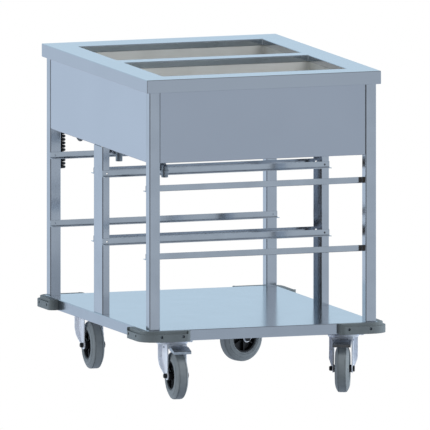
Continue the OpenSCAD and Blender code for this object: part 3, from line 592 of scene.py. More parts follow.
@dataclass(frozen=True)
class Finish:
    """A surface: base colour, gloss, and a fine relief of a stated real size."""

    name: str
    colour: str
    shade: str
    roughness: float
    metallic: float = 0.0
    grain_mm: Point3 = (1.0, 1.0, 1.0)
    relief_mm: float = 0.01
    rough_spread: float = 0.08
    patch_mm: float = 60.0
    edge_mm: float = 0.8
    coat: float = 0.0
    coat_roughness: float = 0.12
    grain_span: Point2 = (0.3, 0.7)
    patch_span: Point2 = (0.35, 0.65)
    relief_strength: float = 0.6

    def material(self) -> bpy.types.Material:
        """Build the material once and return it.

        Returns:
            The material named after this finish.
        """
        found = bpy.data.materials.get(self.name)
        if found:
            return found
        made = bpy.data.materials.new(self.name)
        tree = cleared(made)
        place = add(tree, "ShaderNodeTexCoord").outputs["Object"]
        grain = self._noise(tree, place, self.grain_mm, 3.0)
        patch = self._noise(tree, place, (self.patch_mm,) * 3, 2.0)
        colour = self._colour(tree, patch)
        gloss = add(tree, "ShaderNodeMapRange", {
            "Value": grain, "From Min": self.grain_span[0], "From Max": self.grain_span[1],
            "To Min": self.roughness - self.rough_spread, "To Max": self.roughness + self.rough_spread,
        }).outputs[0]
        edges = add(tree, "ShaderNodeBevel", {"Radius": self.edge_mm * MM}, samples=4).outputs[0]
        relief = add(tree, "ShaderNodeBump", {
            "Strength": self.relief_strength, "Distance": self.relief_mm * MM,
            "Height": grain, "Normal": edges,
        }).outputs[0]
        shader = add(tree, "ShaderNodeBsdfPrincipled", {
            "Base Color": colour, "Metallic": self.metallic, "Roughness": gloss, "Normal": relief,
        })
        if self.coat:
            shader.inputs["Coat Weight"].default_value = self.coat
            shader.inputs["Coat Roughness"].default_value = self.coat_roughness
        add(tree, "ShaderNodeOutputMaterial", {"Surface": shader.outputs[0]})
        return made

    def _noise(self, tree: bpy.types.NodeTree, place: bpy.types.NodeSocket, cell_mm: Point3,
               detail: float) -> bpy.types.NodeSocket:
        """Noise whose cells have a real size along each axis.

        Args:
            tree: The material's tree.
            place: Socket with the place on the object.
            cell_mm: Size of a cell along each axis.
            detail: Number of finer layers.

        Returns:
            The noise's value.
        """
        scaled = add(tree, "ShaderNodeVectorMath", {0: place, 1: [1 / (c * MM) for c in cell_mm]},
                     operation="MULTIPLY").outputs[0]
        return add(tree, "ShaderNodeTexNoise", {"Vector": scaled, "Scale": 1.0, "Detail": detail}).outputs[0]

    def _colour(self, tree: bpy.types.NodeTree, patch: bpy.types.NodeSocket) -> bpy.types.NodeSocket:
        """Base colour that drifts to its shade in soft patches.

        Args:
            tree: The material's tree.
            patch: Noise that rules the patches.

        Returns:
            The colour.
        """
        low, high = self.patch_span
        amount = add(tree, "ShaderNodeMapRange", {"Value": patch, "From Min": low, "From Max": high})
        return blended(tree, amount.outputs[0], linear(self.colour), linear(self.shade))


# Each finish gives colour, shade, roughness, metallic, grain along each axis in mm, relief in mm,
# spread of the roughness, size of the patches in mm, softened edges in mm and clear coat.

# Cold-rolled stainless sheet, ground along X: soft, slightly stretched reflections
TOP_SHEET = Finish("stainless_sheet_ground_along_x", "C3C7CD", "C1C5CB", 0.12, 1.0,
                   (45, 0.9, 0.9), 0.0004, 0.010, 160)
# The same sheet ground along Y, on the side panels, in a lighter colour than on the front and rear panels:
# painted light on the side faces
SIDE_SHEET_PAINTED_LIGHT = Finish("stainless_sheet_ground_along_y", "CDD1D8", "CBCFD6", 0.21, 1.0,
                    (0.9, 45, 0.9), 0.0003, 0.008, 160)
# The same sheet on the front and rear panels, in a darker colour than on the side panels: painted shade on
# the front faces
FRONT_SHEET_PAINTED_SHADE = Finish("stainless_sheet_panel", "C1C5CD", "BFC3CB", 0.21, 1.0,
                     (45, 0.9, 0.9), 0.0003, 0.008, 160)
# The shelf's sheet, polished a little finer, so that it mirrors the legs
SHELF_SHEET = Finish("stainless_sheet_fine", "BEC3CA", "BABFC6", 0.17, 1.0, (45, 0.9, 0.9), 0.0006, 0.015, 90)
# Drawn square tube and folded posts, ground along their length
TUBE_STEEL = Finish("stainless_tube_ground_upright", "C6CAD0", "C0C4CA", 0.13, 1.0,
                    (0.8, 0.8, 40), 0.0006, 0.015, 70)
# Rails of thin folded sheet
RAIL_STEEL = Finish("stainless_rail_strip", "C8CCD1", "C0C4C9", 0.11, 1.0, (40, 0.8, 0.8), 0.0006, 0.015, 60)
# Deep-drawn tub: matte, lighter and almost without mirror
TUB_STEEL = Finish("stainless_deep_drawn_matte", "E9E8E4", "E1E0DB", 0.46, 0.42,
                   (30, 1.2, 1.2), 0.004, 0.05, 70)
# Galvanised pressed steel of the casters: pale, faintly blue, a dull spangle
ZINC = Finish("zinc_plated_pressing", "EDF2FA", "E4E9F3", 0.34, 0.14, (3, 3, 3), 0.02, 0.06, 9, 0.7)
# Brake pedals: the same plating, more metallic, with its colour darkened as painted shade for the shadow
# under the fork's crown
PEDAL_ZINC_PAINTED_SHADE = Finish("zinc_plated_pedal", "B2B8C0", "9EA4AC", 0.22, 0.90, (3, 3, 3), 0.01, 0.06, 9, 0.6)
# Darker zinc of the screws
DARK_ZINC = Finish("zinc_plated_screw", "7C838C", "6C737C", 0.40, 0.9, (1.5, 1.5, 1.5), 0.02, 0.08, 9, 0.3)
# Cast and turned stainless of the drain valves
CAST_STEEL = Finish("stainless_casting", "A9AFB4", "969CA2", 0.42, 1.0, (1.4, 1.4, 1.4), 0.05, 0.08, 12, 0.6)
# Moulded polyethylene of the bumpers: satin grey with faint flow marks
BUMPER = Finish("polyethylene_moulded_grey", "6B7376", "656D70", 0.48, 0.0,
                (1.8, 1.8, 1.8), 0.03, 0.08, 35, 1.2)
# Solid non-marking rubber of the tyres
TYRE = Finish("solid_rubber_grey", "82898D", "7A8185", 0.60, 0.0, (1.5, 1.5, 1.5), 0.04, 0.08, 20, 0.8)
# Glass-filled nylon of the hubs, knobs and glands
NYLON = Finish("nylon_moulded_black", "0E0F11", "131416", 0.40, 0.0, (1.2, 1.2, 1.2), 0.03, 0.08, 12, 0.5)
# Polyurethane jacket of the curly cord
JACKET = Finish("polyurethane_cord_jacket", "101113", "16171A", 0.38, 0.0,
                (1.6, 1.6, 1.6), 0.02, 0.06, 10, 0.3)
# Silicone heating mat
SILICONE = Finish("silicone_mat", "3A2420", "33201D", 0.6, 0.0, (2, 2, 2), 0.05, 0.05, 30)
# Lens of a pilot lamp
LENS = Finish("polycarbonate_amber_lens", "D98A2B", "D07F22", 0.16, 0.0,
              (2.5, 2.5, 2.5), 0.01, 0.03, 8, 0.3, 0.6)
# Rocker of the main switch
ROCKER = Finish("polycarbonate_red_rocker", "B3241C", "A81F18", 0.26, 0.0,
                (2.5, 2.5, 2.5), 0.01, 0.04, 10, 0.3, 0.4)
# Printed marks of the dials
PRINT = Finish("white_print", "E8E8E4", "DEDEDA", 0.5, 0.0, (2, 2, 2), 0.005, 0.05, 10, 0.1)


# Studio and camera


@dataclass
class Studio:
    """Lights, surroundings, floor and camera of the picture, in metres.

    A band is the stretch of the mirrored direction's own axis over which one colour gives way to the next.
    """

    white: Colour = (1, 1, 1, 1)
    wall_high: Colour = (0.62, 0.79, 0.93, 1)
    wall_low: Colour = (0.61, 0.68, 0.81, 1)
    wall_front: Colour = (0.52, 0.59, 0.67, 1)
    corner: Colour = (0.07, 0.06, 0.05, 1)
    ceiling: Colour = (0.14, 0.14, 0.15, 1)
    low_band: Point2 = (-0.22, 0.02)
    corner_band: Point2 = (-0.30, -0.08)
    front_band: Point2 = (-0.55, 0.35)
    ceiling_band: Point2 = (0.50, 0.80)
    look_at: Point3 = (0.0089, -0.0031, 0.4325)
    azimuth: float = -19.0
    elevation: float = 6.98
    distance: float = 4
    width: float = 1.12855
    floor_radius: float = 1.7
    floor_drop: float = 0.0005
    floor_sides: int = 96
    lamp_aim: Point3 = (0, 0, 0.45)
    lamps: tuple[tuple[str, Point3, float, float], ...] = (
        ("lamp_high_right", (1.2, -2.3, 2.8), 1.8, 66),
        ("lamp_left", (-2.8, -0.6, 0.6), 1.2, 38),
        ("lamp_right", (2.8, -0.9, 0.5), 1.2, 36),
    )

    def camera(self) -> None:
        """Set a camera at the photograph's angle, with parallel lines kept parallel."""
        lens = bpy.data.cameras.new("camera")
        lens.type, lens.ortho_scale = "ORTHO", self.width
        lens.clip_start, lens.clip_end = 0.1, 40
        eye = linked("camera", lens)
        a, e = math.radians(self.azimuth), math.radians(self.elevation)
        back = Vector((math.sin(a) * math.cos(e), -math.cos(a) * math.cos(e), math.sin(e)))
        eye.rotation_mode = "QUATERNION"
        eye.location = Vector(self.look_at) + back * self.distance
        eye.rotation_quaternion = (-back).to_track_quat("-Z", "Y")
        bpy.context.scene.camera = eye

    def surroundings(self) -> None:
        """White to the eye, with other colours for what the steel mirrors.

        These are a pale blue back, a dim grey front, a dark corner at the front left and a dark ceiling.
        """
        bpy.context.scene.view_settings.view_transform = "Standard"
        world = bpy.data.worlds.new("studio")
        bpy.context.scene.world = world
        tree = cleared(world)
        way = add(tree, "ShaderNodeTexCoord").outputs["Generated"]
        axes = add(tree, "ShaderNodeSeparateXYZ", {0: way}).outputs
        low = self._ramp(tree, axes["Z"], self.low_band, 1.0, 0.0)
        back = blended(tree, low, self.wall_high, self.wall_low)
        aside = self._ramp(tree, axes["X"], self.corner_band, 1.0, 0.0)
        ahead = blended(tree, aside, self.wall_front, self.corner)
        front = self._ramp(tree, axes["Y"], self.front_band, 1.0, 0.0)
        around = blended(tree, front, back, ahead)
        above = self._ramp(tree, axes["Z"], self.ceiling_band, 0.0, 1.0)
        mirrored = blended(tree, above, around, self.ceiling)
        eye = add(tree, "ShaderNodeLightPath").outputs["Is Camera Ray"]
        seen = blended(tree, eye, mirrored, self.white)
        light = add(tree, "ShaderNodeBackground", {"Color": seen, "Strength": 1.0})
        add(tree, "ShaderNodeOutputWorld", {"Surface": light.outputs[0]})

    def _ramp(self, tree: bpy.types.NodeTree, value: bpy.types.NodeSocket, band: Point2, first: float,
              last: float) -> bpy.types.NodeSocket:
        """Smooth step of a value from one strength to another.

        Args:
            tree: Tree that gets the node.
            value: The value.
            band: Where the step starts and ends.
            first: Strength before the band.
            last: Strength after it.

        Returns:
            The strength.
        """
        made = add(tree, "ShaderNodeMapRange", {
            "Value": value, "From Min": band[0], "From Max": band[1], "To Min": first, "To Max": last,
        }, interpolation_type="SMOOTHSTEP")
        return made.outputs[0]

    def floor(self) -> None:
        """Lay a plain white floor just under the wheels, which only the eye sees, and only from above.

        The steel mirrors the surroundings in its place, and no shadow falls on it.
        """
        rim = at_height(circle(self.floor_radius / MM, self.floor_sides), -self.floor_drop / MM)
        disc = Shape().plate([rim]).raw("floor")
        if disc.data.polygons[0].normal.z < 0:
            disc.data.flip_normals()
        paint = bpy.data.materials.new("floor_paper_white")
        tree = cleared(paint)
        under = add(tree, "ShaderNodeNewGeometry").outputs["Backfacing"]
        paper = add(tree, "ShaderNodeEmission", {"Color": self.white, "Strength": 1.0}).outputs[0]
        clear = add(tree, "ShaderNodeBsdfTransparent").outputs[0]
        seen = add(tree, "ShaderNodeMixShader", {0: under, 1: paper, 2: clear}).outputs[0]
        add(tree, "ShaderNodeOutputMaterial", {"Surface": seen})
        disc.data.materials.append(paint)
        disc.visible_diffuse = disc.visible_glossy = False
        disc.visible_transmission = disc.visible_shadow = False

    def lamp(self, name: str, at: Point3, size: float, watts: float) -> None:
        """Hang a square soft lamp that the steel doesn't mirror.

        Args:
            name: Name of the lamp.
            at: Its place; it points at the middle of the trolley.
            size: Length of its side.
            watts: Its power.
        """
        light = bpy.data.lights.new(name, "AREA")
        light.shape, light.size, light.energy = "SQUARE", size, watts
        lit = linked(name, light)
        lit.location = at
        lit.visible_glossy = False
        lit.rotation_mode = "QUATERNION"
        lit.rotation_quaternion = (Vector(self.lamp_aim) - Vector(at)).to_track_quat("-Z", "Y")

    def build(self) -> None:
        """Set up everything that isn't part of the object."""
        self.camera()
        self.surroundings()
        self.floor()
        for lamp in self.lamps:
            self.lamp(*lamp)


# Mains cord


@dataclass
class MainsCord:
    """Curly mains cord: tail from the gland, hanging coil, and the lead back up to the plug.

    Its route repeats the frame's own, in millimetres.
    """

    diameter: float = 8.0
    tail: tuple[Point3, ...] = (
        (-180, 440, 668), (-180, 460, 668), (-182, 476, 664), (-187, 488, 653), (-193, 494, 637),
        (-199, 494, 619), (-204, 489, 602), (-206, 477, 590), (-206, 462, 586), (-206, 446, 590),
        (-206, 434, 602), (-206, 430, 618), (-206, 430, 640), (-206, 430, 665), (-206, 430, 690),
        (-206, 430, 714), (-211, 430, 732), (-224, 430, 745), (-242, 430, 750), (-260, 430, 745),
        (-273, 430, 732), (-278, 430, 714), (-278, 430, 702),
    )
    lead: tuple[Point3, ...] = (
        (-165, 455, 690), (-185, 455, 690), (-207, 459, 688), (-228, 466, 682), (-247, 476, 670),
        (-262, 486, 653), (-272, 494, 632), (-277, 499, 608), (-278, 500, 584), (-278, 500, 560),
        (-278, 500, 540), (-278, 500, 522), (-278, 500, 497), (-278, 495, 480), (-278, 483, 467),
        (-278, 465, 462), (-278, 447, 467), (-278, 435, 480), (-278, 430, 497),
    )
    radius: float = 10.0
    pitch: float = 9.0
    turns: float = 18.75
    straight: float = 8.125
    steps_a_turn: int = 24
    bend_steps: int = 4

    def smooth(self, points: Sequence[Point3], parts: int = 3) -> list[Vector]:
        """Pass a smooth curve through points.

        Args:
            points: The points, in order.
            parts: Number of stretches between two of them.

        Returns:
            The finer points, with the given ones among them.
        """
        line = [Vector(p) for p in points]
        padded = [line[0] * 2 - line[1]] + line + [line[-1] * 2 - line[-2]]
        result = []
        for a, b, c, d in zip(padded, padded[1:], padded[2:], padded[3:]):
            for i in range(parts):
                t = i / parts
                result.append(0.5 * (2 * b + (c - a) * t + (2 * a - 5 * b + 4 * c - d) * t * t
                                     + (3 * b - a - 3 * c + d) * t * t * t))
        return result + [line[-1]]

    def coil(self) -> list[Vector]:
        """Points of the hanging coil from its top to its foot, without its straight ends' outer points.

        Returns:
            The points in millimetres.
        """
        top, foot, r = Vector(self.tail[-1]), Vector(self.lead[-1]), self.radius
        high = top - Vector((0, 0, self.straight))
        low = foot + Vector((0, 0, self.straight))
        points = []
        bend = 90 / self.bend_steps
        for i in range(self.bend_steps):
            a = math.radians(bend * i)
            points.append(high + r * Vector((1 - math.cos(a), 0, -math.sin(a))))
        axis = high + Vector((r, r, -r))
        count = round(self.turns * self.steps_a_turn)
        for i in range(count + 1):
            t = 2 * math.pi * self.turns * i / count
            points.append(axis + Vector((r * math.sin(t), -r * math.cos(t), -self.pitch * t / (2 * math.pi))))
        for i in range(1, self.bend_steps + 1):
            a = math.radians(bend * i)
            points.append(low + r * Vector((0, 1 - math.sin(a), math.cos(a))))
        return points

    def route(self) -> list[Vector]:
        """The whole centreline in metres, from the gland to the plug."""
        back = self.smooth(self.lead)[::-1]
        return [p * MM for p in self.smooth(self.tail) + self.coil() + back]

    def length(self) -> float:
        """Length of the centreline in metres."""
        line = self.route()
        return sum((b - a).length for a, b in zip(line, line[1:]))

    def build(self, plug: bpy.types.Object) -> None:
        """Args:
            plug: The piece at its far end. It is not used.
        """
        line = self.route()
        data = bpy.data.curves.new("mains_cord", "CURVE")
        data.dimensions, data.bevel_depth, data.bevel_resolution = "3D", self.diameter / 2 * MM, 4
        data.use_fill_caps = True
        spline = data.splines.new("POLY")
        spline.points.add(len(line) - 1)
        for point, place in zip(spline.points, line):
            point.co = (*place, 1)
        cord = linked("mains_cord", data)
        fit(cord, ROOT, JACKET, ("cord_tail", "curly_cord", "cord_lead"))


# Folded sheet pieces


@dataclass(frozen=True)
class Layout:
    """Main planes of the trolley in millimetres, from the floor's middle."""

    top: float = 850
    under_top: float = 848.5
    case_foot: float = 628
    shelf: float = 186
    shelf_foot: float = 157
    leg_x: float = 315
    leg_y: float = 415
    leg: float = 30
    panel_x: float = 313.5
    panel_y: float = 413.5
    shelf_x: float = 320
    shelf_y: float = 420
    post: float = 70
    panel_gap: float = 0.5
    sheet: float = 1.5
    rail_feet: Point2 = (370, 550)
    well_middles: Point2 = (-195.5, 172.5)
    knob_x: Point2 = (55, 185)
    knob_z: float = 745
    gland: Point2 = (-180, 668)

    @property
    def panel_half_x(self) -> float:
        """Half the length of a panel between two legs along X."""
        return self.leg_x - self.leg - self.panel_gap

    @property
    def panel_half_y(self) -> float:
        """Half the length of a panel between two legs along Y."""
        return self.leg_y - self.leg - self.panel_gap


def folded(corners: Sequence[Point2], bend: float, sheet: float) -> list[Point2]:
    """Section of a folded strip of sheet.

    Args:
        corners: Corners of its outer skin, in order.
        bend: Outer bend radius.
        sheet: Thickness, positive towards the left of the skin.

    Returns:
        Closed outline of the section.
    """
    return thickened(filleted(corners, bend), sheet)


@dataclass
class FoldedTray:
    """Sheet folded down on four sides, with a return fold and open or collared holes."""

    half_x: float
    half_y: float
    top: float
    edge: float
    fold: float
    sheet: float = 1.5
    bend: float = 1.9
    corner: float = 1.6
    collar: float = 0.0
    hole_half: Point2 = (0.0, 0.0)
    hole_middles: tuple[Point2, ...] = ()
    hole_corner: float = 1.5
    least_corner: float = 0.3
    bend_steps: int = 5

    def _bend_arc(self, middle: Point2, radius: float, start: float, end: float) -> list[Point2]:
        """Stretch of the section round one fold."""
        return arc(middle, radius, start, end, self.bend_steps)

    def _edge_section(self) -> list[Point2]:
        """Inset and height of the section, from the top's skin round the edge to the top's back.

        Returns:
            The section's points.
        """
        b, t, foot = self.bend, self.sheet, self.top - self.edge
        high, low = (b, self.top - b), (b, foot + b)
        return (self._bend_arc(high, b, 90, 180) + self._bend_arc(low, b, 180, 270)
                + [(self.fold, foot), (self.fold, foot + t)]
                + self._bend_arc(low, b - t, 270, 180) + self._bend_arc(high, b - t, 180, 90))

    def _collar_section(self) -> list[Point2]:
        """Offset from the hole and height of the section, from the top's skin down and back up.

        Returns:
            The section's points.
        """
        b, t, foot = self.bend, self.sheet, self.top - self.collar
        high = (b, self.top - b)
        return (self._bend_arc(high, b, 90, 180) + [(0, foot), (t, foot)]
                + self._bend_arc(high, b - t, 180, 90))

    def shape(self) -> Shape:
        """Build the whole tray as one closed shape.

        Returns:
            The shape.
        """
        made = Shape()
        rim = []
        for d, z in self._edge_section():
            corner = max(self.corner - d, self.least_corner)
            rim.append(at_height(rounded_box(self.half_x - d, self.half_y - d, corner), z))
        made.stack(rim, capped=False)
        faces, backs = [rim[0]], [rim[-1]]
        half_x, half_y = self.hole_half
        for middle in self.hole_middles:
            ring = [at_height(rounded_box(half_x + d, half_y + d, self.hole_corner + d, middle), z)
                    for d, z in self._collar_section()]
            made.stack(ring, capped=False)
            faces.append(ring[0])
            backs.append(ring[-1])
        return made.plate(faces).plate(backs)


@dataclass
class Worktop:
    """Top sheet with two collared openings, and the tubs that hang in them."""

    layout: Layout
    edge: float = 35
    fold: float = 8
    collar: float = 17
    half_size: Point2 = (325, 425)
    hole_half: Point2 = (255.5, 156.5)
    tub_floor: float = 654
    tub_wall: float = 1.2
    tub_corner: float = 10
    tub_fillet: float = 9
    flange: float = 14
    flange_corner: float = 3
    throat_drop: float = 0.3
    throat_play: float = 1.8
    least_corner: float = 3
    shoulder: Point2 = (0.2, 0.6)
    socket: Point2 = (-197, 70)
    socket_bore: float = 8.05
    socket_radius: float = 11
    socket_length: float = 10
    corner_steps: int = 8

    def top_sheet(self) -> bpy.types.Object:
        """Build the folded top sheet.

        Returns:
            The sheet.
        """
        middles = tuple((0, y) for y in self.layout.well_middles)
        tray = FoldedTray(*self.half_size, self.layout.top, self.edge, self.fold, collar=self.collar,
                          hole_half=self.hole_half, hole_middles=middles)
        return tray.shape().piece("worktop")

    def _tub_rings(self, middle: float, out: float) -> list[list[Vector]]:
        """Rings of one skin of a tub, from its throat down to its floor.

        Args:
            middle: The tub's middle on Y.
            out: Offset of this skin from the inner one.

        Returns:
            The rings, downwards.
        """
        top, throat = self.layout.under_top - out, self.layout.top - self.collar - self.throat_drop - out
        half_x, half_y = (half + self.throat_play + out for half in self.hole_half)
        fillet, floor = self.tub_fillet + out, self.tub_floor - out
        least, corner = self.least_corner, self.tub_corner
        inset, drop = self.shoulder
        section = [(0, top, least), (0, throat, least), (inset, throat - drop, corner)]
        section += [(fillet - x, floor + fillet - z, corner) for x, z in arc((0, 0), fillet, 0, 90, 6)]
        made = []
        for inset, z, corner in section:
            round_by = max(corner - inset, least) + out
            made.append(at_height(rounded_box(half_x - inset, half_y - inset, round_by, (0, middle),
                                              self.corner_steps), z))
        return made

    def tub(self, name: str, middle: float) -> bpy.types.Object:
        """Build a deep-drawn tub with its flange and drain socket.

        Args:
            name: Name of the piece.
            middle: The tub's middle on Y.

        Returns:
            The tub.
        """
        inner, outer = self._tub_rings(middle, 0), self._tub_rings(middle, self.tub_wall)
        half_x, half_y = (half + self.flange_corner + self.flange for half in self.hole_half)
        edge = rounded_box(half_x, half_y, self.flange_corner, (0, middle), self.corner_steps)
        rim = [at_height(edge, z) for z in (self.layout.under_top, self.layout.under_top - self.tub_wall)]
        spot = (self.socket[0], middle + self.socket[1])
        hole, wide = circle(self.socket_bore, 36, spot), circle(self.socket_radius, 36, spot)
        high, low = at_height(hole, self.tub_floor), at_height(hole, self.tub_floor - self.tub_wall)
        made = Shape().stack(inner[::-1] + rim + outer, capped=False).stack([high, low], capped=False)
        made.plate([inner[-1], high]).plate([outer[-1], low])
        foot = self.tub_floor - self.tub_wall
        return made.tube(wide, hole, Plane.XY, foot - self.socket_length, foot).piece(name)

    def build(self) -> None:
        """Build and dress the sheet and the tubs."""
        fit(self.top_sheet(), ROOT, TOP_SHEET, ("worktop",))
        for name, middle in zip(("well_front", "well_rear"), self.layout.well_middles):
            fit(self.tub(f"{name}_tub", middle), ROOT, TUB_STEEL, (name,))


@dataclass
class Case:
    """Four folded panels and the floor of the heated case."""

    layout: Layout
    fold: float = 12
    bend: float = 2.5
    lamp_z: float = 785
    switch: Point2 = (250, 745)
    switch_half: Point2 = (11.3, 15.3)
    switch_corner: float = 0.8
    knob_hole: float = 5
    lamp_hole: float = 5.55
    gland_hole: float = 8.05

    def _section(self, face: float) -> list[Point2]:
        """Section of a panel whose outer face lies on the negative side."""
        low, high, back = self.layout.case_foot, self.layout.under_top, face + self.fold
        return folded([(back, low), (face, low), (face, high), (back, high)], self.bend, -self.layout.sheet)

    def plain(self, name: str, plane: Plane, face: float, half: float) -> bpy.types.Object:
        """Build a panel without holes.

        Args:
            name: Name of the piece.
            plane: Plane of its section.
            face: Place of its outer face.
            half: Half its length.

        Returns:
            The panel.
        """
        outline = self._section(-abs(face))
        if face > 0:
            outline = [(-a, z) for a, z in outline]
        return Shape().prism(outline, plane, -half, half).piece(name)

    def rear(self) -> bpy.types.Object:
        """Build the rear panel with its holes for shafts, lamps, switch and gland.

        Returns:
            The panel.
        """
        plan = self.layout
        half, face = plan.panel_half_x, plan.panel_y
        outline = [(-a, z) for a, z in self._section(-face)]
        y0, y1 = face - DRILL_REACH, face + DRILL_REACH
        spots = [(x, plan.knob_z, self.knob_hole) for x in plan.knob_x]
        spots += [(x, self.lamp_z, self.lamp_hole) for x in plan.knob_x] + [(*plan.gland, self.gland_hole)]
        made = drilled(Shape().prism(outline, Plane.YZ, -half, half).raw("rear_panel"),
                       [(Vector((x, y0, z)), Vector((x, y1, z)), r) for x, z, r in spots])
        window = rounded_box(*self.switch_half, self.switch_corner, self.switch)
        return eased(carved(made, Shape().prism(window, Plane.XZ, y0, y1)), 0)

    def build(self) -> None:
        """Build and dress the panels and the floor."""
        plan = self.layout
        # The front and rear panels take the sheet's darker copy as painted shade, the side panels and the
        # floor its lighter copy as painted light
        fit(self.plain("front_panel", Plane.YZ, -plan.panel_y, plan.panel_half_x), ROOT, FRONT_SHEET_PAINTED_SHADE,
            ("front_panel",))
        for name, face in (("left_panel", -plan.panel_x), ("right_panel", plan.panel_x)):
            fit(self.plain(name, Plane.XZ, face, plan.panel_half_y), ROOT, SIDE_SHEET_PAINTED_LIGHT, (name,))
        fit(self.rear(), ROOT, FRONT_SHEET_PAINTED_SHADE, ("rear_panel",))
        soften("body_floor", "body_floor", 0, ROOT, SIDE_SHEET_PAINTED_LIGHT)


@dataclass
class Frame:
    """Legs of square tube, channel posts and runner rails."""

    layout: Layout
    leg_wall: float = 2
    leg_corner: float = 3.2
    post_wall: float = 2
    post_flange: float = 20
    post_bend: float = 3.2
    rail_leg: float = 20
    rail_height: float = 16.5
    rail_sheet: float = 1.5
    rail_bend: float = 2.4
    hole_inset: float = 13
    hole: float = 5

    def leg(self, name: str, side: int, end: int) -> bpy.types.Object:
        """Build one leg.

        Args:
            name: Name of the piece.
            side: -1 on the left, 1 on the right.
            end: -1 at the front, 1 at the rear.

        Returns:
            The leg.
        """
        half = self.layout.leg / 2
        middle = (side * (self.layout.leg_x - half), end * (self.layout.leg_y - half))
        inner = half - self.leg_wall
        return Shape().tube(rounded_box(half, half, self.leg_corner, middle),
                            rounded_box(inner, inner, self.leg_corner - self.leg_wall, middle),
                            Plane.XY, self.layout.shelf, self.layout.under_top).piece(name)

    def post(self, name: str, side: int) -> bpy.types.Object:
        """Build one channel post with the rails' holes in its flanges.

        Args:
            name: Name of the piece.
            side: -1 on the left, 1 on the right.

        Returns:
            The post.
        """
        half, x, back = self.layout.post / 2, self.layout.leg_x, self.layout.leg_x - self.post_flange
        line = [(side * back, -half), (side * x, -half), (side * x, half), (side * back, half)]
        outline = folded(line, self.post_bend, side * self.post_wall)
        at = side * (x - self.hole_inset)
        holes = [self._bore(at, s * half, z) for z in self.layout.rail_feet for s in (-1, 1)]
        made = Shape().prism(outline, Plane.XY, self.layout.shelf, self.layout.case_foot)
        return made.piece(name, holes=holes)

    def _bore(self, x: float, y: float, foot: float) -> Hole:
        """Screw hole along Y at half the height of the rail that stands on a foot."""
        z = foot + self.rail_height / 2
        return Vector((x, y - DRILL_REACH, z)), Vector((x, y + DRILL_REACH, z)), self.hole / 2

    def rail_pair(self, name: str, bay: int, foot: float) -> bpy.types.Object:
        """Build the two facing rails of a bay at one height.

        Args:
            name: Name of the piece.
            bay: -1 for the front bay, 1 for the rear bay.
            foot: Underside of the rails.

        Returns:
            Both rails as one piece.
        """
        made, holes, x = Shape(), [], self.layout.leg_x
        leg_in = self.layout.leg_y - self.layout.leg
        for y, way in ((bay * leg_in, -bay), (bay * self.layout.post / 2, bay)):
            line = [(y, foot + self.rail_height), (y, foot), (y + way * self.rail_leg, foot)]
            made.prism(folded(line, self.rail_bend, way * self.rail_sheet), Plane.YZ, -x, x)
            holes += [self._bore(s * (x - self.hole_inset), y, foot) for s in (-1, 1)]
        return made.piece(name, holes=holes)

    def build(self) -> None:
        """Build and dress the legs, posts and rails."""
        for side, left in ((-1, "left"), (1, "right")):
            for end, front in ((-1, "front"), (1, "rear")):
                name = f"leg_{front}_{left}"
                fit(self.leg(name + "_tube", side, end), ROOT, TUBE_STEEL, (name,))
            name = f"post_{left}"
            fit(self.post(name + "_channel", side), ROOT, TUBE_STEEL, (name,))
        for bay, front in ((-1, "front"), (1, "rear")):
            for level, foot in zip(("lower", "upper"), self.layout.rail_feet):
                name = f"rails_{front}_{level}"
                fit(self.rail_pair(name + "_strips", bay, foot), ROOT, RAIL_STEEL, (name,))


@dataclass
class Shelf:
    """Base shelf with the channels that carry the casters."""

    layout: Layout
    edge: float = 29
    fold: float = 14
    channel_half: float = 50
    channel_wall: float = 2.5
    channel_bend: float = 4
    channel_play: float = 1.6
    caster_y: float = 350

    def channels(self) -> bpy.types.Object:
        """Build the two caster channels under the shelf.

        Returns:
            Both channels as one piece.
        """
        made = Shape()
        top, foot, half = self.layout.shelf - self.layout.sheet, self.layout.shelf_foot, self.channel_half
        end = self.layout.shelf_x - self.channel_play
        for y in (-self.caster_y, self.caster_y):
            line = [(y - half, top), (y - half, foot), (y + half, foot), (y + half, top)]
            made.prism(folded(line, self.channel_bend, self.channel_wall), Plane.YZ, -end, end)
        return made.piece("caster_channels")

    def build(self) -> None:
        """Build and dress the shelf and its channels."""
        tray = FoldedTray(self.layout.shelf_x, self.layout.shelf_y, self.layout.shelf, self.edge, self.fold)
        fit(tray.shape().piece("shelf_tray"), ROOT, SHELF_SHEET, ("base_shelf",))
        fit(self.channels(), ROOT, TUBE_STEEL, ("base_shelf",))


# Repeats


def bar(name: str, half: Point2, radius: float, height: Point2, middle: Point2 = (0, 0), steps: int = 2,
        width: float = 0.0) -> bpy.types.Object:
    """Upright bar with a rounded section, such as a rib or a printed mark.

    Args:
        name: Name of the object.
        half: Half its size along X and Y.
        radius: Radius of its corners.
        height: Where it starts and ends on Z.
        middle: Its middle.
        steps: Stretches of each corner.
        width: Bevel of its sharp edges.

    Returns:
        The bar.
    """
    return Shape().prism(rounded_box(*half, radius, middle, steps), Plane.XY, *height).piece(name, width)


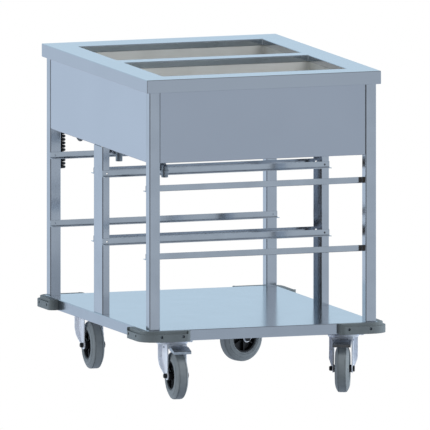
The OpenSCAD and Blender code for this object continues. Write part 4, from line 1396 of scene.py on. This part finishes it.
class PieceTree:
    """Geometry Nodes tree that repeats one small piece, with named inputs for the piece and its sizes."""

    sockets: ClassVar[dict[str, str]] = {}

    def __init__(self, name: str, finish: Finish) -> None:
        """Build the tree.

        Args:
            name: Name of the tree.
            finish: Finish of the repeated piece.
        """
        self.tree = bpy.data.node_groups.new(name, "GeometryNodeTree")
        self.inputs = {}
        kinds = {"Geometry": "NodeSocketGeometry", "Piece": "NodeSocketObject", **self.sockets}
        for label, kind in kinds.items():
            made = self.tree.interface.new_socket(name=label, in_out="INPUT", socket_type=kind)
            self.inputs[label] = made.identifier
        self.tree.interface.new_socket(name="Geometry", in_out="OUTPUT", socket_type="NodeSocketGeometry")
        source = add(self.tree, "NodeGroupInput").outputs
        piece = add(self.tree, "GeometryNodeObjectInfo", {"Object": source["Piece"]}).outputs["Geometry"]
        values = {"Instance": piece, **self.spread(source)}
        copies = add(self.tree, "GeometryNodeInstanceOnPoints", values).outputs[0]
        real = add(self.tree, "GeometryNodeRealizeInstances", {0: copies}).outputs[0]
        painted = add(self.tree, "GeometryNodeSetMaterial", {"Geometry": real, "Material": finish.material()})
        add(self.tree, "NodeGroupOutput", {0: painted.outputs[0]})

    def spread(self, source: bpy.types.NodeOutputs) -> dict[str, bpy.types.NodeSocket]:
        """Give the points of the copies, and how each is turned and sized.

        Args:
            source: The tree's inputs.

        Returns:
            Input names of the instancing node and the sockets that feed them.
        """
        raise NotImplementedError

    def baked_copies(self, name: str, data: bpy.types.Mesh, piece: bpy.types.Object,
                     values: dict[str, float]) -> bpy.types.Object:
        """Run the tree on a mesh and leave a plain one.

        Args:
            name: Name of the new object.
            data: Mesh that the tree starts from.
            piece: The piece; it is used up.
            values: Further inputs.

        Returns:
            One plain mesh with every copy.
        """
        made = linked(name, data)
        modifier = made.modifiers.new("repeat", "NODES")
        modifier.node_group = self.tree
        for label, value in {"Piece": piece, **values}.items():
            modifier[self.inputs[label]] = value
        made = baked(made)
        bpy.data.objects.remove(piece)
        return made


class PointRepeat(PieceTree):
    """Repeats a piece on marked points; the inputs are its size and the turn about each point's axis."""

    sockets: ClassVar[dict[str, str]] = {"Size": "NodeSocketFloat", "Turn": "NodeSocketFloat"}

    def spread(self, source: bpy.types.NodeOutputs) -> dict[str, bpy.types.NodeSocket]:
        """Place the copies on the mesh's points, turned along their mark.

        Args:
            source: The tree's inputs.

        Returns:
            Inputs of the instancing node.
        """
        aim = add(self.tree, "GeometryNodeInputNamedAttribute", {"Name": "aim"},
                  data_type="FLOAT_VECTOR").outputs[0]
        facing = add(self.tree, "FunctionNodeAlignRotationToVector", {"Vector": aim}, axis="Z").outputs[0]
        spin = add(self.tree, "ShaderNodeCombineXYZ", {"Z": source["Turn"]}).outputs[0]
        own = add(self.tree, "FunctionNodeEulerToRotation", {0: spin}).outputs[0]
        turned = add(self.tree, "FunctionNodeRotateRotation", {"Rotation": facing, "Rotate By": own},
                     rotation_space="LOCAL").outputs[0]
        return {"Points": source["Geometry"], "Rotation": turned, "Scale": source["Size"]}

    def build(self, name: str, piece: bpy.types.Object, spots: Sequence[tuple[Vector, Vector]],
              turn: float = 0.0) -> bpy.types.Object:
        """Repeat a piece on points and bake the result.

        Args:
            name: Name of the new object.
            piece: The piece, made round the origin with its axis along Z; it is used up.
            spots: Place in millimetres and direction of each copy.
            turn: Turn about the copy's own axis, in degrees.

        Returns:
            One plain mesh with every copy.
        """
        data = bpy.data.meshes.new(name)
        data.from_pydata([spot * MM for spot, _ in spots], [], [])
        aims = data.attributes.new("aim", "FLOAT_VECTOR", "POINT")
        for item, (_, way) in zip(aims.data, spots):
            item.vector = way.normalized()
        return self.baked_copies(name, data, piece, {"Size": 1.0, "Turn": math.radians(turn)})


class ArcRepeat(PieceTree):
    """Repeats a piece round the Z axis; the inputs are count, radius, first angle and step."""

    sockets: ClassVar[dict[str, str]] = {"Count": "NodeSocketInt", "Radius": "NodeSocketFloat",
                                         "First": "NodeSocketFloat", "Step": "NodeSocketFloat"}

    def spread(self, source: bpy.types.NodeOutputs) -> dict[str, bpy.types.NodeSocket]:
        """Place the copies on an arc, each turned to face outwards.

        Args:
            source: The tree's inputs.

        Returns:
            Inputs of the instancing node.
        """
        index = add(self.tree, "GeometryNodeInputIndex").outputs[0]
        angle = self._sum("MULTIPLY_ADD", index, source["Step"], source["First"])
        across = self._sum("MULTIPLY", self._sum("COSINE", angle), source["Radius"])
        along = self._sum("MULTIPLY", self._sum("SINE", angle), source["Radius"])
        place = add(self.tree, "ShaderNodeCombineXYZ", {"X": across, "Y": along}).outputs[0]
        turn = add(self.tree, "ShaderNodeCombineXYZ", {"Z": angle}).outputs[0]
        values = {"Count": source["Count"], "Position": place}
        return {"Points": add(self.tree, "GeometryNodePoints", values).outputs[0], "Rotation": turn}

    def _sum(self, operation: str, *values: bpy.types.NodeSocket) -> bpy.types.NodeSocket:
        """Math node on one to three sockets."""
        return add(self.tree, "ShaderNodeMath", dict(enumerate(values)), operation=operation).outputs[0]

    def build(self, name: str, piece: bpy.types.Object, count: int, radius: float, place: Matrix,
              first: float = 0.0, step: float | None = None) -> bpy.types.Object:
        """Repeat a piece and bake the result.

        Args:
            name: Name of the new object.
            piece: The piece, made with +X outwards and Z along the axis; it is used up.
            count: Number of copies.
            radius: Distance of its origin from the axis, in millimetres.
            place: Puts the ring in the frame, in millimetres.
            first: Angle of the first copy, in degrees.
            step: Angle between copies, or an even share of the turn.

        Returns:
            One plain mesh with every copy.
        """
        values = {"Count": count, "Radius": radius * MM, "First": math.radians(first),
                  "Step": math.radians(360 / count if step is None else step)}
        return moved(self.baked_copies(name, bpy.data.meshes.new(name), piece, values), place)


# Bumpers


@dataclass
class Bumpers:
    """Four moulded corner bumpers and their screws."""

    layout: Layout
    thickness: float = 24
    edge_rounding: float = 1.6
    screws_from_corner: Point2 = (54, 114)
    screw_z: float = 171
    head_recess: float = 5
    head_radius: float = 3.5

    def screw(self) -> bpy.types.Object:
        """Build one pan-head screw with a round socket, its head's seat at the origin.

        Returns:
            The screw.
        """
        r = self.head_radius
        profile = [(0.02, -16), (2, -16), (2, 0), (r, 0), (r, 1.5), (r - 0.4, 2.3), (r - 1.2, 2.8), (1.6, 3),
                   (1.5, 1.6), (0.02, 1.6)]
        return Shape().stack(rings(profile, 18)).piece("screw")

    def spots(self) -> list[tuple[Vector, Vector]]:
        """Seat and direction of every screw.

        Returns:
            A place in millimetres and a direction for each.
        """
        out = self.thickness - self.head_recess
        x, y = self.layout.shelf_x, self.layout.shelf_y
        result = []
        for i, j, a in product((-1, 1), (-1, 1), self.screws_from_corner):
            back = self.thickness - a
            result.append((Vector((i * (x + back), j * (y + out), self.screw_z)), Vector((0, j, 0))))
            result.append((Vector((i * (x + out), j * (y + back), self.screw_z)), Vector((i, 0, 0))))
        return result

    def build(self) -> None:
        """Build and dress the bumpers and the screws."""
        for place in ("front_left", "front_right", "rear_left", "rear_right"):
            name = f"bumper_{place}"
            soften(name + "_moulding", name, self.edge_rounding, ROOT, BUMPER, 3)
        repeat = PointRepeat("screws_on_bumpers", DARK_ZINC)
        screws = repeat.build("bumper_screw_set", self.screw(), self.spots())
        fit(screws, ROOT, DARK_ZINC, ("bumper_screws",))


# Casters


@dataclass
class Caster:
    """One swivel caster: fork, axle, tyre and hub, in millimetres and degrees."""

    place: str
    x: float
    y: float
    heading: float
    trail: float = 40
    radius: float = 62.5
    tyre_half: float = 19
    seat: float = 38
    hub_half: float = 23.25
    axle: float = 5.05
    boss: float = 10
    rim_inset: float = 3.5
    sharp_fold: float = 40
    rib_count: int = 6
    rib_half: Point2 = (12.5, 1.6)
    rib_middle: Point2 = (21.5, 0)
    rib_height: Point2 = (-12, 12)
    fork_rounding: float = 0.7
    axle_rounding: float = 0.5

    def frame(self) -> Matrix:
        """Place of the swivel axis at the floor, with +X along the trail."""
        return placed((self.x, self.y, 0), self.heading, "Z")

    def wheel_frame(self) -> Matrix:
        """Place of the wheel's middle, with Z along the axle."""
        return self.frame() @ placed((self.trail, 0, self.radius), 90, "X")

    def _wheel_part(self, name: str, half: Sequence[Point2], steps: int) -> bpy.types.Object:
        """Turn a part of the wheel from the half of its profile on one side of the middle."""
        profile = list(half) + [(r, -z) for r, z in half[::-1]]
        return Shape().lathe(profile, self.wheel_frame(), steps).piece(name, sharp=self.sharp_fold)

    def tyre(self) -> bpy.types.Object:
        """Turn the tyre, with rings moulded in its sides and two grooves in its tread.

        Returns:
            The tyre.
        """
        # Distance out from the hub's seat, or in from the tread, and depth below the tyre's side
        flank = ((0, 3.5), (0.8, 2), (3, 0.7), (4.4, 0.3), (4.9, 1.0), (5.7, 1.0), (6.2, 0.1), (7, 0.1))
        tread = ((14.5, 1), (11.2, 1.9), (10.6, 3), (9.4, 3.3), (8.8, 2.9), (7, 3.8), (5, 5), (3.4, 5.7),
                 (1.6, 6.9), (0.5, 8.4), (0.3, 9), (1.1, 9.4), (1.1, 10.2), (0.1, 10.6), (0, 13))
        h = self.tyre_half
        half = [(self.seat + a, h - b) for a, b in flank] + [(self.radius - a, h - b) for a, b in tread]
        return self._wheel_part(f"tyre_{self.place}_rubber", half, 112)

    def hub(self) -> bpy.types.Object:
        """Turn the hub: boss, dished web and the rim under the tyre.

        Returns:
            The hub.
        """
        rim, deep, boss, end = self.seat, self.tyre_half - self.rim_inset, self.boss, self.hub_half
        half = [(self.axle, end), (boss - 1, end), (boss, end - 1), (boss + 0.6, 12), (boss + 1.5, 5),
                (boss + 3, 4), (rim - 8, 3), (rim - 6, 3.6), (rim - 4.4, deep - 4), (rim - 4, deep - 0.6),
                (rim - 3.4, deep), (rim, deep)]
        return self._wheel_part(f"hub_{self.place}_moulding", half, 80)

    def ribs(self, repeat: ArcRepeat) -> bpy.types.Object:
        """Set the hub's ribs between its boss and rim.

        Args:
            repeat: Tree that repeats them.

        Returns:
            The ribs as one piece.
        """
        rib = bar("rib", self.rib_half, 0.7, self.rib_height, self.rib_middle, width=0.4)
        return repeat.build(f"hub_{self.place}_ribs", rib, self.rib_count, 0, self.wheel_frame(),
                            180 / self.rib_count)

    def build(self, ribs: ArcRepeat) -> None:
        """Build and dress the caster.

        Args:
            ribs: Tree that repeats a hub's ribs.
        """
        body, wheel = f"caster_{self.place}", f"wheel_{self.place}"
        fork, axle, tyre, hub = (f"{kind}_{self.place}" for kind in ("fork", "axle", "tyre", "hub"))
        soften(fork + "_pressing", fork, self.fork_rounding, body, ZINC)
        soften(axle + "_bolt", axle, self.axle_rounding, body, NYLON)
        fit(self.tyre(), wheel, TYRE, (tyre,))
        fit(self.hub(), wheel, NYLON, (hub,))
        fit(self.ribs(ribs), wheel, NYLON, (hub,))


@dataclass
class Casters:
    """The four casters, their plates and bolts, and the two brake pedals."""

    places: tuple[tuple[str, float, float, float], ...] = (
        ("front_left", -230, -350, -92), ("front_right", 246, -350, -112),
        ("rear_left", -220, 350, -93), ("rear_right", 236, 350, -161),
    )
    bolt_half: Point2 = (40, 30)
    bolt_corner: float = 7.2
    bolt_chamfer: float = 0.7
    bolt_radius: float = 3.95
    bolt_head: Point2 = (-5, 0)
    bolt_nut: Point2 = (6, 12.5)
    bolt_shank: Point2 = (-1, 15.5)
    plate_foot: float = 153.5
    plate_rounding: float = 0.6
    pedal_rounding: float = 0.6

    def bolt(self) -> bpy.types.Object:
        """Build one hexagon bolt with its nut, the head's seat at the origin.

        Returns:
            The bolt.
        """
        made, r, c = Shape(), self.bolt_corner, self.bolt_chamfer
        for low, high in (self.bolt_head, self.bolt_nut):
            made.stack(rings([(r - c, low), (r, low + c), (r, high - c), (r - c, high)], 6))
        return made.stack(rings([(self.bolt_radius, z) for z in self.bolt_shank], 24)).piece("bolt")

    def build(self) -> None:
        """Build and dress the casters."""
        ribs = ArcRepeat("ribs_in_hub", NYLON)
        spots = []
        for row in self.places:
            caster = Caster(*row)
            caster.build(ribs)
            for a, b in product((-1, 1), (-1, 1)):
                spot = (caster.x + a * self.bolt_half[0], caster.y + b * self.bolt_half[1], self.plate_foot)
                spots.append((Vector(spot), Vector((0, 0, 1))))
        bolts = PointRepeat("bolts_in_plates", ZINC).build("caster_bolt_set", self.bolt(), spots)
        fit(bolts, ROOT, ZINC, ("caster_bolts",))
        soften("caster_plate_set", "caster_plates", self.plate_rounding, ROOT, ZINC)
        for side in ("left", "right"):
            name = f"brake_pedal_{side}"
            # The pedals' darker finish is painted shade from the fork's crown above them
            soften(name + "_pressing", name, self.pedal_rounding, f"pedal_{side}", PEDAL_ZINC_PAINTED_SHADE)


# Drains and controls


@dataclass
class Drains:
    """Two drain valves with their handles, and the heating mats."""

    valve_rounding: float = 0.6
    handle_rounding: float = 1.0
    mat_rounding: float = 0.8

    def build(self) -> None:
        """Build and dress the valves, the handles and the mats."""
        for place in ("front", "rear"):
            valve, handle = f"drain_valve_{place}", f"valve_handle_{place}"
            soften(valve + "_casting", valve, self.valve_rounding, ROOT, CAST_STEEL)
            soften(handle + "_wings", handle, self.handle_rounding, f"drain_handle_{place}", NYLON)
        soften("heating_mats", "heaters", self.mat_rounding, ROOT, SILICONE)


@dataclass
class Controls:
    """Knobs, dials, lamps and main switch on the rear panel."""

    layout: Layout
    knob_radius: float = 21
    knob_rounding: float = 0.6
    housing_rounding: float = 0.5
    lens_rounding: float = 0.3
    rocker_rounding: float = 0.4
    pointer_half: Point2 = (0.8, 4.2)
    pointer_place: float = -13.5
    pointer_height: Point2 = (20.3, 20.75)
    flute_count: int = 40
    flute_half: Point2 = (0.8, 0.7)
    flute_height: Point2 = (1.2, 4.4)
    flute_inset: float = 0.5
    tick_count: int = 11
    tick_half: Point2 = (2.2, 0.45)
    tick_height: Point2 = (-0.1, 0.15)
    tick_gap: float = 5
    tick_first: float = -90
    tick_step: float = 30

    def frame(self, x: float) -> Matrix:
        """Place of a knob's foot, with Z out of the panel."""
        return placed((x, self.layout.panel_y, self.layout.knob_z), -90, "X")

    def pointer(self, name: str, x: float) -> bpy.types.Object:
        """Print a pointer on the end of a knob's grip."""
        made = bar(name, self.pointer_half, 0.7, self.pointer_height, (0, self.pointer_place), 3)
        return moved(made, self.frame(x))

    def build(self) -> None:
        """Build and dress the controls."""
        ticks = ArcRepeat("ticks_of_dial", PRINT)
        flutes = ArcRepeat("flutes_of_knob", NYLON)
        for place, x in zip(("front", "rear"), self.layout.knob_x):
            node, body, frame = f"knob_{place}_well", f"knob_{place}", self.frame(x)
            soften(node + "_moulding", node, self.knob_rounding, body, NYLON)
            fit(self.pointer(node + "_pointer", x), body, PRINT)
            flute = bar("flute", self.flute_half, 0.4, self.flute_height)
            ring = flutes.build(node + "_flutes", flute, self.flute_count,
                                self.knob_radius - self.flute_inset, frame)
            fit(ring, body, NYLON, (node,))
            tick = bar("tick", self.tick_half, 0.3, self.tick_height)
            dial = ticks.build(f"dial_{place}_ticks", tick, self.tick_count, self.knob_radius + self.tick_gap,
                               frame, self.tick_first, self.tick_step)
            fit(dial, ROOT, PRINT)
        soften("control_housings", "control_bodies", self.housing_rounding, ROOT, NYLON)
        soften("pilot_lamp_lenses", "pilot_lamps", self.lens_rounding, ROOT, LENS)
        soften("main_switch_rocker", "main_switch", self.rocker_rounding, "switch_rocker", ROCKER)


@dataclass
class CordFittings:
    """Gland with its flexible sleeve, the cord's hook and cup, and the plug."""

    layout: Layout
    cord_bore: float = 4.05
    guard_start: Point2 = (8.4, 16)
    guard_ends: tuple[Point2, ...] = ((5.2, 47), (4.05, 47.5))
    guard_ring: Point2 = (8.0, 18.5)
    guard_step: Point2 = (0.45, 4.6)
    guard_rings: int = 6
    plug: Point3 = (-120, 435.5, 690)
    plug_radius: float = 19
    plug_length: float = 34
    grip_count: int = 30
    grip_half: Point2 = (1.1, 0.9)
    grip_height: Point2 = (9, 23.5)
    grip_inset: float = 1.0
    gland_rounding: float = 0.5
    holder_rounding: float = 0.8
    sleeve_place: Point2 = (-45, 19.5)
    sleeve_step: Point2 = (0.5, 5.6)
    sleeve_rings: int = 5
    pin_offset: float = 9.5

    def guard(self) -> bpy.types.Object:
        """Turn the tapered sleeve that guards the cord at the gland.

        Returns:
            The sleeve.
        """
        x, z = self.layout.gland
        profile = [(self.cord_bore, self.guard_start[1]), self.guard_start]
        for k in range(self.guard_rings):
            r, up = self.guard_ring[0] - self.guard_step[0] * k, self.guard_ring[1] + self.guard_step[1] * k
            profile += [(r, up), (r, up + 2.4), (r - 1.1, up + 2.8), (r - 1.1, up + 4.2)]
        profile += self.guard_ends
        return Shape().lathe(profile, placed((x, self.layout.panel_y, z), -90, "X"), 32).piece("gland_sleeve")

    def plug_body(self) -> bpy.types.Object:
        """Build the plug: body, cord sleeve and two pins.

        Returns:
            The plug.
        """
        x, y, z = self.plug
        r, length = self.plug_radius, self.plug_length
        body = [(0.05, 0), (r - 1.2, 0), (r - 0.3, 0.4), (r, 1.4), (r, 7), (r - 1.2, 8.5), (r - 1.2, 24),
                (r - 0.8, 26), (r - 1.4, 29), (r - 3, 32.2), (r - 5, 33.6), (r - 7, length), (0.05, length)]
        made = Shape().stack(rings(body, 48, placed(self.plug, -90, "X")))
        sleeve = [(self.cord_bore, 0), (5.2, 0)]
        for k in range(self.sleeve_rings):
            a, b = self.sleeve_step[0] * k, self.sleeve_step[1] * k
            sleeve += [(5.4 + a, 1 + b), (5.6 + a, 4 + b), (4.8 + a, 4.6 + b), (4.9 + a, 6.2 + b)]
        sleeve += [(8, 30), (8, 33), (self.cord_bore, 33)]
        made.lathe(sleeve, placed((x + self.sleeve_place[0], y + self.sleeve_place[1], z), 90, "Y"), 28)
        pin = ((2.4, -1), (2.4, 17.6), (2.0, 18.6), (1.1, 19))
        for side in (-1, 1):
            made.stack(rings(pin, 20, placed((x + side * self.pin_offset, y, z), 90, "X")))
        return made.piece("plug_body")

    def build(self) -> bpy.types.Object:
        """Build and dress the fittings.

        Returns:
            The plug, which the cord names.
        """
        soften("cable_gland_nut", "cable_gland", self.gland_rounding, ROOT, NYLON)
        fit(self.guard(), ROOT, JACKET, ("cable_gland",))
        soften("cord_hook_and_cup", "cord_holders", self.holder_rounding, ROOT, NYLON)
        rib = bar("grip", self.grip_half, 0.5, self.grip_height)
        ribs = ArcRepeat("grip_of_plug", JACKET)
        grip = ribs.build("plug_grip", rib, self.grip_count, self.plug_radius - self.grip_inset,
                          placed(self.plug, -90, "X"))
        fit(grip, ROOT, JACKET, ("mains_plug",))
        return fit(self.plug_body(), ROOT, JACKET, ("mains_plug",))


def main() -> None:
    """Build the studio, the cord and the pieces in order."""
    logging.basicConfig(level=logging.INFO, format="%(name)s: %(message)s")
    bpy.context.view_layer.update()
    layout = Layout()
    Studio().build()
    cord = MainsCord()
    cord.build(CordFittings(layout).build())
    LOG.info("cord length %.4f m", cord.length())
    for part in (Worktop(layout), Case(layout), Frame(layout), Shelf(layout), Bumpers(layout), Casters(),
                 Drains(), Controls(layout)):
        part.build()


if __name__ == "__main__":
    main()
